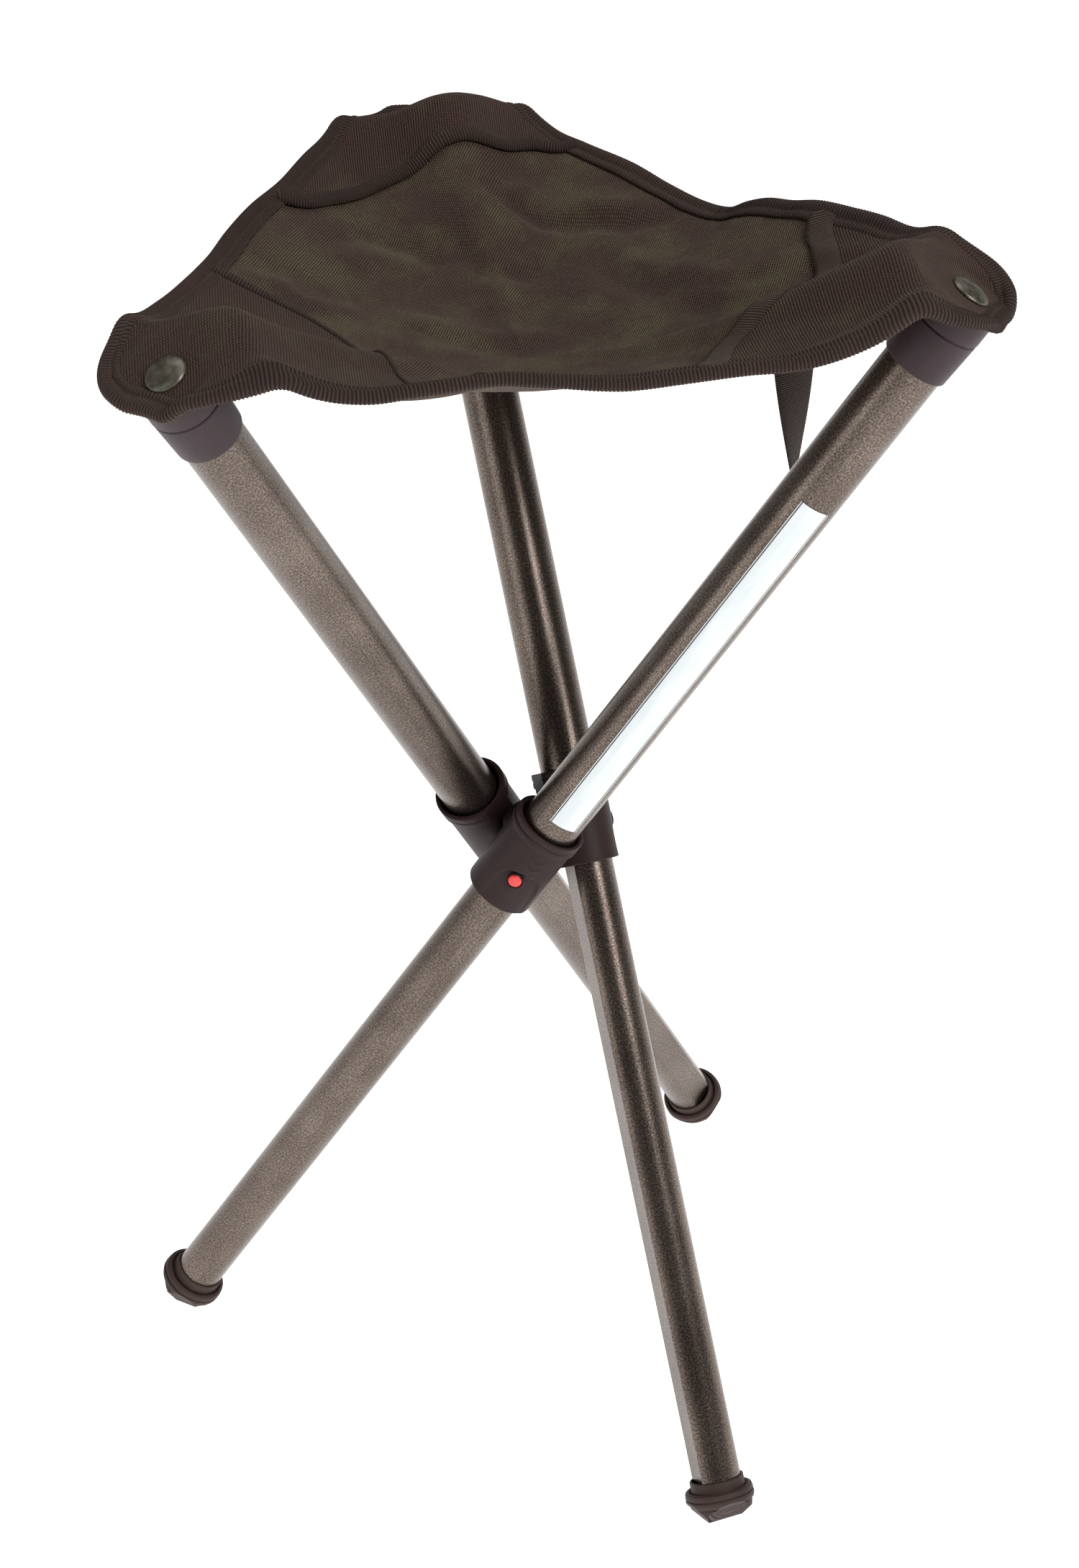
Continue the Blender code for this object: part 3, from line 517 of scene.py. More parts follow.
def build_sleeve(key):
    bore = UPPER_R + 0.15
    side = [(SLEEVE_R - 1.0, SLEEVE_BOT, 0.0), (SLEEVE_R, SLEEVE_BOT, 0.9)]
    side += [(SLEEVE_R + 0.1 * k / 46, SLEEVE_BOT + 1.0 + (SLEEVE_STEP - SLEEVE_BOT - 1.6) * k / 46, 0.0)
             for k in range(47)]
    side += [(SLEEVE_R + 0.15, SLEEVE_STEP - 0.2, 0.2), (COLLAR_R, SLEEVE_STEP + 0.1, 0.5),
             (COLLAR_R, SLEEVE_STEP + 2.3, 0.15), (COLLAR_R - 0.4, SLEEVE_STEP + 2.6, 0.15),
             (COLLAR_R - 0.4, SLEEVE_STEP + 3.0, 0.15), (COLLAR_R, SLEEVE_STEP + 3.3, 0.15),
             (COLLAR_R, SLEEVE_TOP, 0.8)]
    outer = rounded(side + [(bore + 1.7, SLEEVE_TOP - 0.1, 0.0)])
    inner = [(bore + 1.2, SLEEVE_TOP - 0.8), (bore + 0.9, SLEEVE_STEP + 1.0), (bore, SLEEVE_STEP),
             (bore, UPPER_BOT - 0.3), (LOWER_R + 0.25, UPPER_BOT - 0.3), (LOWER_R + 0.25, SLEEVE_BOT)]
    profile = outer + inner
    count = len(outer)

    def shape(t, r, z, k):
        if k < count - 1:
            cut = scoop(t, z) - (chevrons(t, z) if CHEVRON_LOW < z < CHEVRON_HIGH else 0.0)
            r = r - cut
            return max(r * math.cos(t) - SLEEVE_ECC, -PAD_X), r * math.sin(t), z
        shift = -0.4 if z > SLEEVE_STEP else 0.0
        if k >= len(profile) - 2:
            return max(r * math.cos(t), -LOWER_FLAT - 0.25), r * math.sin(t), z
        return r * math.cos(t) + shift, r * math.sin(t), z

    mesh = on_leg(with_button_hole(turned("sleeve", profile, 240, shape=shape), SLEEVE_HOLE), key)
    finish_mesh("leg_sleeve_skin_" + key, mesh, M_SLEEVE, "leg_" + key, ["leg_sleeve_" + key], 40)


def build_button(key):
    front = BUTTON_FRONT
    profile = rounded([(0.001, BUTTON_BACK, 0), (BUTTON_R, BUTTON_BACK, 0.2), (BUTTON_R, front - 1.0, 0.0),
                       (BUTTON_R - 0.25, front - 0.35, 0.0), (BUTTON_R - 0.8, front - 0.08, 0.0),
                       (BUTTON_R - 1.6, front - 0.02, 0.0), (0.001, front, 0)])
    mesh = across_leg(turned("button", profile, 48, closed=False))
    finish_mesh("lock_button_skin_" + key, on_leg(mesh, key), M_BUTTON, "button_" + key,
                ["lock_button_" + key], 50)
    # raised ring round the button in darker nylon, on the sleeve: its dark colour is painted shade for the
    # gap round the button
    shade_ring = rounded([(BUTTON_R + 0.15, 12.4, 0), (BUTTON_R + 0.6, 12.4, 0.0), (BUTTON_R + 0.65, 13.3, 0.1),
                    (BUTTON_R + 0.4, 13.75, 0.1), (BUTTON_R + 0.15, 13.2, 0.0)])
    ring = across_leg(turned("shade_ring", shade_ring, 48))
    finish_mesh("button_shade_ring_" + key, on_leg(ring, key), M_HUB, "leg_" + key, (), 40)


def build_cup(key):
    inner = UPPER_R + 0.15
    profile = rounded([
        (inner, CUP_BOT, 0.0), (CUP_R - 0.9, CUP_BOT, 0.35), (CUP_R - 0.15, CUP_TOP - 12.3, 0.3),
        (CUP_R - 0.6, CUP_TOP - 11.9, 0.15), (CUP_R - 0.6, CUP_TOP - 11.5, 0.15),
        (CUP_R, CUP_TOP - 11.1, 0.25), (CUP_R, CUP_TOP, 2.2), (3.0, CUP_TOP, 0.0),
        (3.0, UPPER_TOP + 0.3, 0.0), (inner, UPPER_TOP + 0.3, 0.0)], 5)
    mesh = on_leg(turned("cup", profile, 96), key)
    finish_mesh("top_cup_skin_" + key, mesh, M_CUP, "leg_" + key, ["top_cup_" + key], 45)


DOME_R, DOME_RISE, RIVET_R, RIVET_TAIL_R = 7.55, 2.1, 2.5, 4.3


def build_rivet(key):
    head = PANEL_S + GAP + PATCH_T + GAP - 0.15
    dome = [(DOME_R * math.cos(a), head + 0.35 + DOME_RISE * math.sin(a))
            for a in np.linspace(0.0, math.pi / 2 - 0.02, 9)]
    profile = [(0.001, UPPER_TOP - 1.6), (RIVET_TAIL_R, UPPER_TOP - 1.6), (RIVET_TAIL_R, UPPER_TOP - 0.4),
               (RIVET_R, UPPER_TOP + 0.1), (RIVET_R, head), (7.3, head)] + dome + [(0.001, head + 2.46)]
    mesh = on_leg(turned("rivet", profile, 64, closed=False), key)
    finish_mesh("seat_rivet_skin_" + key, mesh, M_RIVET, "leg_" + key, ["seat_rivet_" + key], 40)


def half_space(point, rotation):
    """A big block whose face passes through point: it fills the side below its own z = 0."""
    v = [(x * 0.06, y * 0.06, z * 0.06) for z in (-1, 0) for y in (-1, 1) for x in (-1, 1)]
    f = [(0, 2, 3, 1), (4, 5, 7, 6), (0, 1, 5, 4), (2, 6, 7, 3), (0, 4, 6, 2), (1, 3, 7, 5)]
    mesh = bpy.data.meshes.new("cutter")
    mesh.from_pydata(v, [], f)
    mesh.transform(Matrix.Translation(Vector(point) * MM) @ rotation)
    return plain_object("cutter", mesh)


TREAD_FILLET, TREAD_WIDTH, TREAD_DEPTH = 1.5, 0.5, 0.55
TOE_AT, TOE_LEAN = (0, -12.6, -286.9), math.radians(-34.0)
CHEEK_X, CHEEK_Z, CHEEK_LEAN = 12.2, -287.6, math.radians(56.0)


def tread_ring(inset, place):
    """A closed trapezoid groove cutter, drawn on the toe face (x across, y up the face)."""
    def loop(d):
        low, high, base, top = 7.2 - d * 1.25, 11.6 - d * 1.25, 1.2 + d, 12.6 - d
        corners = [np.array(p) for p in ((-low, base), (low, base), (high, top), (-high, top))]
        pts = []
        for k, p in enumerate(corners):
            a, b = corners[k - 1] - p, corners[(k + 1) % 4] - p
            start = p + a / np.linalg.norm(a) * TREAD_FILLET
            end = p + b / np.linalg.norm(b) * TREAD_FILLET
            pts += [bend(start, p, end, t) for t in (0, 0.25, 0.5, 0.75, 1)]
        return pts
    outer, inner = loop(inset), loop(inset + TREAD_WIDTH)
    n = len(outer)
    verts = [(x * MM, y * MM, z * MM) for z in (-TREAD_DEPTH, 1.0) for x, y in outer + inner]
    faces = []
    for k in range(n):
        k2 = (k + 1) % n
        faces += [(k, k2, n + k2, n + k), (2 * n + k, 3 * n + k, 3 * n + k2, 2 * n + k2),
                  (k, 2 * n + k, 2 * n + k2, k2), (n + k, n + k2, 3 * n + k2, 3 * n + k)]
    mesh = bpy.data.meshes.new("tread")
    mesh.from_pydata(verts, [], faces)
    mesh.transform(place)
    return plain_object("tread", outward(mesh))


def foot_mesh():
    profile = rounded([
        (0.001, -301.0, 0), (11.5, -301.0, 0), (13.1, -288.2, 0.3), (12.9, -287.4, 0.15),
        (FOOT_R - 0.5, -287.0, 0.2), (FOOT_R, -285.4, 0.5), (FOOT_R - 0.2, -284.4, 0.1),
        (FOOT_R - 0.75, -284.2, 0.1), (FOOT_R - 0.75, -283.8, 0.1), (FOOT_R - 0.15, -283.5, 0.2),
        (FOOT_R - 0.5, -281.6, 0.5), (12.6, -281.1, 0.3), (11.7, -282.6, 0.3),
        (11.4, -282.4, 0.2), (11.3, -277.3, 0.3), (LOWER_R + 0.15, -277.0, 0.1),
        (LOWER_R + 0.15, LOWER_BOT - 0.3, 0), (0.001, LOWER_BOT - 0.3, 0)], 4)
    body = plain_object("foot", outward(turned("foot", profile, 96, closed=False)))
    floor = half_space((0, 0, -HUB_Z / math.cos(TILT)), Matrix.Rotation(TILT, 4, "X"))
    lean = Matrix.Rotation(TOE_LEAN, 4, "X")
    face = Matrix.Translation([c * MM for c in TOE_AT]) @ lean
    toe = half_space(TOE_AT, lean)
    cheeks = [half_space((side * CHEEK_X, 0, CHEEK_Z), Matrix.Rotation(-side * CHEEK_LEAN, 4, "Y"))
              for side in (-1, 1)]
    mesh = cut_all(body, [floor, toe] + cheeks)
    # grooves start at the toe's lower edge and climb towards the flange
    low_edge = face @ Matrix.Translation((0, 14.4 * MM, 0)) @ Matrix.Rotation(math.pi, 4, "Z")
    rings = [tread_ring(inset, low_edge) for inset in (0.0, 1.9, 3.7)]
    return cut_all(plain_object("foot", mesh), rings)


def build_foot(key, master):
    mesh = master.copy()
    mesh.transform(leg_matrix(key))
    mesh.materials.clear()
    finish_mesh("foot_skin_" + key, mesh, M_FOOT, "shank_" + key, ["foot_" + key], 32)


LABEL_R, LABEL_BACK_R = 12.02, 11.84
LABEL_ARC, LABEL_SPAN = (-18.0, 42.0), (31.0, 204.0)     # degrees round the tube, and up it


def build_label():
    """A plain printed strip, wrapped part of the way round leg b's upper tube."""
    arc = np.radians(np.linspace(*LABEL_ARC, 25))
    outer = [(LABEL_R * math.cos(a), LABEL_R * math.sin(a)) for a in arc]
    inner = [(LABEL_BACK_R * math.cos(a), LABEL_BACK_R * math.sin(a)) for a in arc[::-1]]
    loop = outer + inner
    rows = np.linspace(*LABEL_SPAN, 30)
    points = np.array([[(x, y, z) for x, y in loop] for z in rows])
    across = np.concatenate([np.linspace(0, 1, 25), np.linspace(1, 0, 25), [0.0]])
    uv = uv_grid(across[None, :], (rows * MM)[:, None])
    mesh = on_leg(grid_mesh("label", points, uv, wrap_cols=True), "b")
    finish_mesh("plain_label_skin", mesh, M_LABEL, "leg_b", ["plain_label"], 30)


# ---- cloth seat: its surface
RIVET_RADIUS = math.hypot(OFFSET, PANEL_S * math.sin(TILT))
ARC_AT = RIVET_RADIUS - CORNER_IN
EDGE_AT = ARC_AT / 2 + CORNER_R
KEY_AZ = np.array([CORNERS[k] for k in KEYS])


def nearest(az):
    """The nearest corner's index, and the angle from it."""
    psi = wrap(np.asarray(az, float)[..., None] - KEY_AZ)
    index = np.argmin(np.abs(psi), axis=-1)
    return index, np.take_along_axis(psi, index[..., None], -1)[..., 0]


# how far the sewn rim strays from the plain shape: (azimuth, outwards, upwards)
RIM = [
    (0, 0, 8), (6, 0, 8), (12, 0, 5.5), (18, 0, 4), (23, 0, 0.5), (28, 0, -4.5), (36, 0, -6), (46, 0, -4.5),
    (56, 0, -2), (66, 0, -3.5), (72, 0, -6.5), (78, 0, -6.5), (84, 0, -1), (90, 0, 2.5), (97, 0, -3.5),
    (103, 2.5, 0), (109, 4.5, 0.5), (116, 6, 3), (126, 6.5, 3), (138, 8, 4), (150, 7.5, 3.5), (162, 5, 2.5),
    (172, 3, 2.5), (180, 2, 2), (188, 0.5, 1), (195, 1.5, -3), (201, 2.5, -3), (206, 0, 0), (211, -4.5, 5),
    (217, -2, 4), (222, 0, 1.5), (228, 0, -2.5), (234, 0, -2), (240, 0, 1), (252, 0, 4.5), (258, 0, 3.5),
    (264, 0, 2), (270, 0, 0), (276, 0, -1.5), (286, 0, -2), (296, 0, -3), (304, 0, -5.5), (312, 0, -5),
    (318, 0, -1.5), (324, -1, 1.5), (330, -3.5, 3), (336, 1, 3), (342, 1, 2), (348, 0, 1.5), (354, 0, 6.5),
]
KNOTS = np.array(RIM[-1:] + RIM + RIM[:2], float)
KNOTS[0, 0] -= 360.0
KNOTS[-2:, 0] += 360.0
SLOPES = (KNOTS[2:, 1:] - KNOTS[:-2, 1:]) / (KNOTS[2:, :1] - KNOTS[:-2, :1])


def rim_shift(az):
    """How far out and how far up the rim moves at an azimuth, as a smooth curve through RIM."""
    az = np.asarray(az, float) % 360.0
    k = np.searchsorted(KNOTS[1:-1, 0], az, side="right") - 1
    a, b = KNOTS[k + 1], KNOTS[k + 2]
    span = (b[..., 0] - a[..., 0])[..., None]
    t = (az - a[..., 0])[..., None] / span
    m0, m1 = SLOPES[k] * span, SLOPES[(k + 1) % len(SLOPES)] * span
    value = ((2 * t ** 3 - 3 * t * t + 1) * a[..., 1:] + (t ** 3 - 2 * t * t + t) * m0
             + (3 * t * t - 2 * t ** 3) * b[..., 1:] + (t ** 3 - t * t) * m1)
    return value[..., 0], value[..., 1]


def outline(az):
    """The seat's radius at an azimuth: arcs round the corners, straight edges, and the rim's shift."""
    psi = nearest(az)[1]
    p, s60 = np.radians(np.abs(psi)), math.radians(60)
    turn = math.atan2(CORNER_R * math.sin(s60), ARC_AT + CORNER_R * math.cos(s60))
    arc = ARC_AT * np.cos(p) + np.sqrt(np.maximum(CORNER_R ** 2 - (ARC_AT * np.sin(p)) ** 2, 0.0))
    edge = EDGE_AT / np.cos(s60 - p)
    return np.where(p < turn, arc, edge) + rim_shift(az)[0]


def smin(a, b, k):
    h = np.maximum(k - np.abs(a - b), 0.0) / k
    return np.minimum(a, b) - h * h * k / 4


# soft folds in the panel, in plan: the line each one follows, its height and its half width
FOLDS = [
    ([(3, 101), (16, 96), (28, 84), (46, 75), (56, 68), (68, 65), (76, 66)], -3.0, 4.6),
    ([(16, 99), (25, 103), (30, 100)], 1.6, 4.0),
    ([(36, 92), (50, 84), (62, 76), (74, 74)], 1.8, 5.5),
    ([(-64, 68), (-45, 81), (-29, 77), (-22, 68), (-3, 67)], -1.9, 5.0),
    ([(-60, 58), (-42, 68), (-30, 64), (-20, 56)], 1.4, 6.0),
    ([(51, 57), (54, 44), (63, 25), (79, 5), (102, -5), (125, -26), (129, -81)], 2.2, 6.0),
    ([(40, 50), (44, 36), (53, 18), (66, -4)], -1.3, 6.0),
    ([(54, 8), (67, 3), (85, -12), (100, -12)], 1.5, 4.5),
    ([(-10, 55), (14, 54), (25, 60), (36, 76)], -2.2, 5.0),
    ([(-44, 26), (-31, 22), (-14, 16), (13, 13), (30, 23)], 2.0, 6.0),
    ([(-48, 14), (-30, 9), (-6, 2), (20, 0)], -1.3, 6.0),
    ([(-104, 30), (-88, 32), (-79, 22), (-61, 24)], 1.9, 5.0),
    ([(-100, 40), (-80, 42), (-62, 34)], -1.2, 5.5),
    ([(-11, 83), (-7, 68), (-3, 52)], -1.6, 4.5),
    ([(-70, -8), (-50, -22), (-28, -34), (-4, -42)], 1.1, 8.0),
    ([(40, -10), (30, -30), (10, -52), (-14, -70)], -1.0, 9.0),
]


def near_line(x, y, line):
    """Distance to a polyline, and how far along it the nearest point is, from 0 to 1."""
    line = np.asarray(line, float)
    best, along = np.full(np.shape(x), 1e9), np.zeros(np.shape(x))
    for k in range(len(line) - 1):
        a, d = line[k], line[k + 1] - line[k]
        t = np.clip(((x - a[0]) * d[0] + (y - a[1]) * d[1]) / (d @ d), 0.0, 1.0)
        dist = np.hypot(x - a[0] - t * d[0], y - a[1] - t * d[1])
        closer = dist < best
        best, along = np.where(closer, dist, best), np.where(closer, (k + t) / (len(line) - 1), along)
    return best, along


FOLD_GAIN = 1.2


def folds(x, y):
    """The folds' height, and a faint unevenness all over."""
    total = np.zeros(np.shape(x))
    for line, rise, half in FOLDS:
        dist, along = near_line(x, y, line)
        fade = np.sin(np.pi * np.clip(0.12 + 0.76 * along, 0, 1))
        total += FOLD_GAIN * rise * np.exp(-(dist / half) ** 2) * fade
    for k in range(7):
        turn = 0.9 * k + 0.35
        total += 0.28 * np.sin((x * math.cos(turn) + y * math.sin(turn)) / (5.5 + 1.3 * k) + 1.7 * k)
    return total


def height(x, y):
    """Top face of the seat cloth, hub centred."""
    r, az = np.hypot(x, y), np.degrees(np.arctan2(y, x))
    index, psi = nearest(az)
    rim = outline(az)
    rho = np.minimum(r / rim, 1.05)
    edge = Z_NEAR + (Z_MID - Z_NEAR) * smooth(np.abs(psi) / 60)
    w = np.exp(-((np.sqrt(psi * psi + 25) - 5) / RIDGE_WIDTH) ** 1.3)
    top = edge + (Z_RIDGE - edge) * w
    bowl = Z_CENTRE + (top - Z_CENTRE) * rho ** 1.5
    a = np.radians(KEY_AZ[index] + TWIST)
    ax, ay, az3 = math.sin(TILT) * np.cos(a), math.sin(TILT) * np.sin(a), math.cos(TILT)
    cx = OFFSET * np.cos(a - math.pi / 2) + PANEL_S * ax
    cy = OFFSET * np.sin(a - math.pi / 2) + PANEL_S * ay
    plate = HUB_Z + PANEL_S * az3 - (ax * (x - cx) + ay * (y - cy)) / az3
    lifted = -smin(-plate, -Z_LEVEL, SOFT_JOIN)
    from_rivet = np.hypot(x - cx, y - cy)
    cap = plate + (lifted - plate) * smooth((from_rivet - 12.0) / np.array(EASE)[index])
    rim_rise = rim_shift(az)[1] * rho ** 4 * smooth((from_rivet - 15.0) / 7.0)
    loose = smooth((rim - r - 3.0) / 16.0) * smooth((from_rivet - 22.0) / 30.0)
    front = np.clip(1.5 * np.cos(np.radians(az - FRONT_AZ)), 0.0, 1.0)
    lip = LIP_RISE * front * (smooth((r - rim + 24.0) / 15.0) - smooth((r - rim + 9.0) / 9.0))
    lip = lip * smooth((from_rivet - 20.0) / 15.0)
    return smin(bowl, cap, SOFT_JOIN) + rim_rise + lip + folds(x, y) * loose


def seat_point(x, y, lift):
    """Points lift millimetres off the seat surface along its normal, and those normals."""
    e = 0.4
    x, y = np.broadcast_arrays(np.asarray(x, float), np.asarray(y, float))
    zx = (height(x + e, y) - height(x - e, y)) / (2 * e)
    zy = (height(x, y + e) - height(x, y - e)) / (2 * e)
    n = np.stack([-zx, -zy, np.ones_like(zx)], -1)
    n /= np.linalg.norm(n, axis=-1, keepdims=True)
    p = np.stack([x, y, height(x, y)], -1)
    return p + n * np.asarray(lift, float)[..., None], n


def polar(az, r):
    a = np.radians(az)
    return r * np.cos(a), r * np.sin(a)


PLACE = np.array([HUB.x, HUB.y, 0.0])


def shell_mesh(name, points, normals, uv, centre=False):
    """A closed thin body from points[layer][row][col], layer 0 below and 1 above.

    With centre, row 0 is one point.
    """
    rows, cols = points.shape[1:3]
    index = np.arange(2 * rows * cols).reshape(2, rows, cols)
    if centre:
        index[:, 0, :] = index[:, 0, :1]
    faces, face_uv = [], []

    def add(ids, uvs):
        keep = [k for k in range(len(ids)) if ids[k] != ids[k - 1]]
        if len(keep) > 2:
            faces.append([int(ids[k]) for k in keep])
            face_uv.extend(uvs[k] for k in keep)

    for i in range(rows - 1):
        for j in range(cols - 1):
            ring = [(i, j), (i, j + 1), (i + 1, j + 1), (i + 1, j)]
            uvs = [uv[a, b] for a, b in ring]
            add([index[1, a, b] for a, b in ring], uvs)
            add([index[0, a, b] for a, b in ring][::-1], uvs[::-1])
    ends = (rows - 1,) if centre else (0, rows - 1)
    edges = [[(i, j), (i, j + 1)] for j in range(cols - 1) for i in ends]
    edges += [[(i, j), (i + 1, j)] for i in range(rows - 1) for j in (0, cols - 1)]
    for p, q in edges:
        add([index[0][p], index[0][q], index[1][q], index[1][p]], [uv[p], uv[q], uv[q], uv[p]])
    used = np.unique(np.concatenate([np.array(f) for f in faces]))
    remap = np.full(index.size, -1)
    remap[used] = np.arange(len(used))
    flat = (points.reshape(-1, 3) + PLACE)[used] * MM
    mesh = bpy.data.meshes.new(name)
    mesh.from_pydata(flat.tolist(), [], [[int(remap[v]) for v in f] for f in faces])
    layer = mesh.uv_layers.new(name="UVMap")
    layer.data.foreach_set("uv", np.asarray(face_uv, np.float32).ravel())
    outward(mesh)
    return mesh, normals.reshape(-1, 3)[used]


BEND_FROM, BEND_TO = 56.0, 140.0         # from the seat's centre towards a corner, in plan
RIM_INSET = 2.0


def cloth(name, mesh, normals, mat, key, replaces):
    """Finishes a cloth piece and hides the parts it replaces. Given normals, its shading follows the seat.
    """
    ob = finish_mesh(name, mesh, mat, None)
    if normals is not None:
        mesh.normals_split_custom_set_from_vertices(normals.tolist())
    bend_with(ob, key, replaces)


def bend_with(ob, key, replaces):
    """Bakes a loose piece's placement into its mesh and hides the CAD parts it replaces."""
    toward = np.array([math.cos(math.radians(CORNERS[key])), math.sin(math.radians(CORNERS[key])), 0.0])
    start, end = (np.array(HUB) + toward * BEND_FROM) * MM, (np.array(HUB) + toward * BEND_TO) * MM
    tuple(start)
    tuple(end)
    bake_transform(ob)
    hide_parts(*replaces)


def slab(name, az, radius, low, high, centre=False):
    """A sheet of cloth between two lifts off the seat surface."""
    x, y = polar(az[None, :], radius)
    low_p, n = seat_point(x, y, np.full(x.shape, low))
    high_p = seat_point(x, y, np.full(x.shape, high))[0]
    uv = np.stack([x, y], -1) * MM
    return shell_mesh(name, np.stack([low_p, high_p]), np.stack([-n, n]), uv, centre)


def third(key, step=1.0):
    """Azimuths from one mid-edge to the next, round a corner."""
    return CORNERS[key] + np.linspace(-60.0, 60.0, int(round(120 / step)) + 1)


# each patch's seam, as (azimuth, radius) points from one edge of the seat to the other
SEAMS = {
    "a": [(167.5, 116), (168.5, 105), (170, 92), (176, 78), (191, 69), (214, 72), (230, 87), (240, 100),
          (250, 111), (256, 116)],
    "b": [(290, 116), (300, 96), (313, 85), (322, 87), (331, 93), (340, 104), (347, 112.5), (354, 113),
          (360, 114.5), (365.3, 122)],
    "c": [(66, 136), (71, 132), (76, 131), (85, 123), (95, 119), (107, 116.5), (118, 114), (126, 114.5),
          (132, 122)],
}


def smooth_path(points, spacing):
    """A Catmull-Rom curve through plan points, resampled evenly."""
    p = np.asarray(points, float)
    p = np.vstack([2 * p[0] - p[1], p, 2 * p[-1] - p[-2]])
    out = []
    for k in range(1, len(p) - 2):
        for t in np.linspace(0, 1, 24, endpoint=False):
            out.append(0.5 * (2 * p[k] + (p[k + 1] - p[k - 1]) * t
                              + (2 * p[k - 1] - 5 * p[k] + 4 * p[k + 1] - p[k + 2]) * t * t
                              + (3 * p[k] - p[k - 1] - 3 * p[k + 1] + p[k + 2]) * t ** 3))
    out.append(p[-2])
    out = np.array(out)
    s = arc_lengths(out)
    count = max(2, int(round(s[-1] / spacing)))
    at = np.linspace(0.0, s[-1], count + 1)
    return np.stack([np.interp(at, s, out[:, k]) for k in (0, 1)], -1)


def seam_path(key, spacing):
    """The seam in plan, from under the binding on one edge to under it on the other."""
    path = smooth_path([polar(az, r) for az, r in SEAMS[key]], spacing)
    az = np.degrees(np.arctan2(path[:, 1], path[:, 0]))
    return path[np.hypot(path[:, 0], path[:, 1]) < outline(az) - 4.0]


def along_path(name, path, at, across, lift, section):
    """A closed strip along a plan path, across to the left of it and lifted off the seat surface.

    at is the length along the path, and section is the (across, lift) loop that sets the UV map's width.
    """
    tangent = np.gradient(path, axis=0)
    tangent /= np.linalg.norm(tangent, axis=1, keepdims=True)
    x = path[:, None, 0] - tangent[:, None, 1] * across
    y = path[:, None, 1] + tangent[:, None, 0] * across
    around = arc_lengths(np.vstack([section, section[:1]]))
    uv = uv_grid((at * MM)[:, None], (around * MM)[None, :])
    return closed_tube(name, seat_point(x, y, lift)[0] + PLACE, uv)


def closed_tube(name, points, uv):
    """Skins loops of points and closes both ends."""
    return capped(grid_mesh(name, points, uv, wrap_cols=True), points.shape[0], points.shape[1])


def tape_section(width, low, high, round_top=0.0):
    """A flat or rounded strip of the given width, bottom at low."""
    half = width / 2
    top = [(half - 0.15, high - 0.15)]
    for u in (0.6, 0.2, -0.2, -0.6):
        top.append((half * u, high + round_top * (1 - u * u)))
    top.append((-half + 0.15, high - 0.15))
    return [(half, low)] + top + [(-half, low)]


PATCH_LOW, PATCH_HIGH = 0.35, 1.15


def build_panel(key):
    """One third of the seat cloth, from the centre out to the rim."""
    az = third(key)
    rim = outline(az) - RIM_INSET
    t = np.linspace(0.0, 1.0, 92)
    mesh, normals = slab("panel", az, t[:, None] * rim[None, :], -PANEL_T, 0.0, centre=True)
    cloth("seat_panel_" + key, mesh, normals, M_PANEL, key, ["seat_panel"])


def build_patch(key):
    """The doubled cloth between a corner's seam and the rim."""
    seam = seam_path(key, 1.0)
    turn = wrap(np.degrees(np.arctan2(seam[:, 1], seam[:, 0])) - CORNERS[key])
    order = np.argsort(turn)
    az = CORNERS[key] + np.linspace(turn.min() + 0.2, turn.max() - 0.2, 101)
    inner = np.interp(az, CORNERS[key] + turn[order], np.hypot(seam[:, 0], seam[:, 1])[order])
    rim = outline(az) - RIM_INSET
    inner = np.minimum(inner, rim - 1.0)
    t = np.linspace(0.0, 1.0, 44)
    mesh, normals = slab("patch", az, inner + t[:, None] * (rim - inner)[None, :], PATCH_LOW, PATCH_HIGH)
    cloth("corner_patch_skin_" + key, mesh, normals, M_PATCH, key, ["corner_patch_" + key])


def build_seam(key):
    """The tape over a patch's seam: a flat tape, a fold that narrows, or a raised ribbed band."""
    path = seam_path(key, 0.55)
    low = PATCH_HIGH - 0.5

    def section(k, s):
        rib = 0.13 if k % 2 else -0.05
        if key == "a":
            width = 2.2 + 4.2 * float(smooth((46.0 - s) / 40.0))
            return tape_section(width, low, PATCH_HIGH + 0.55 + rib * 0.5, 0.35)
        if key == "b":
            width = 10.5 + 1.2 * math.sin(s / 11.0)
            return tape_section(width, low, PATCH_HIGH + 0.6 + rib, 0.1)
        return tape_section(6.0, low, PATCH_HIGH + 1.2 + rib * 1.4, 1.1)

    at = arc_lengths(path)
    loops = np.array([section(k, s) for k, s in enumerate(at)])
    mesh = along_path("seam", path, at, loops[:, :, 0], loops[:, :, 1], loops[0])
    cloth("seam_tape_skin_" + key, mesh, None, M_TAPE, key, ["seam_tape_" + key])


# binding: (inset from the edge, lift off the cloth), once round the folded tape
BINDING = [(8.3, 0.5), (8.0, 1.2), (7.0, 1.55), (5.9, 1.5), (5.2, 1.1), (4.4, 1.5), (3.4, 2.1), (2.2, 2.35),
           (1.0, 2.0), (0.2, 1.05), (-0.1, -0.3), (0.3, -1.5), (1.3, -2.3), (2.8, -2.5), (4.6, -2.2),
           (4.8, -1.4), (3.0, -1.3), (1.6, -1.2), (1.3, -0.4), (1.5, 0.2), (4.5, 0.4), (7.5, 0.3)]
RIBBED = (2, 3, 5, 6, 7, 8, 9, 10, 11, 12, 13)      # the points of BINDING that the ribs move
RIB_SPACING = 0.70


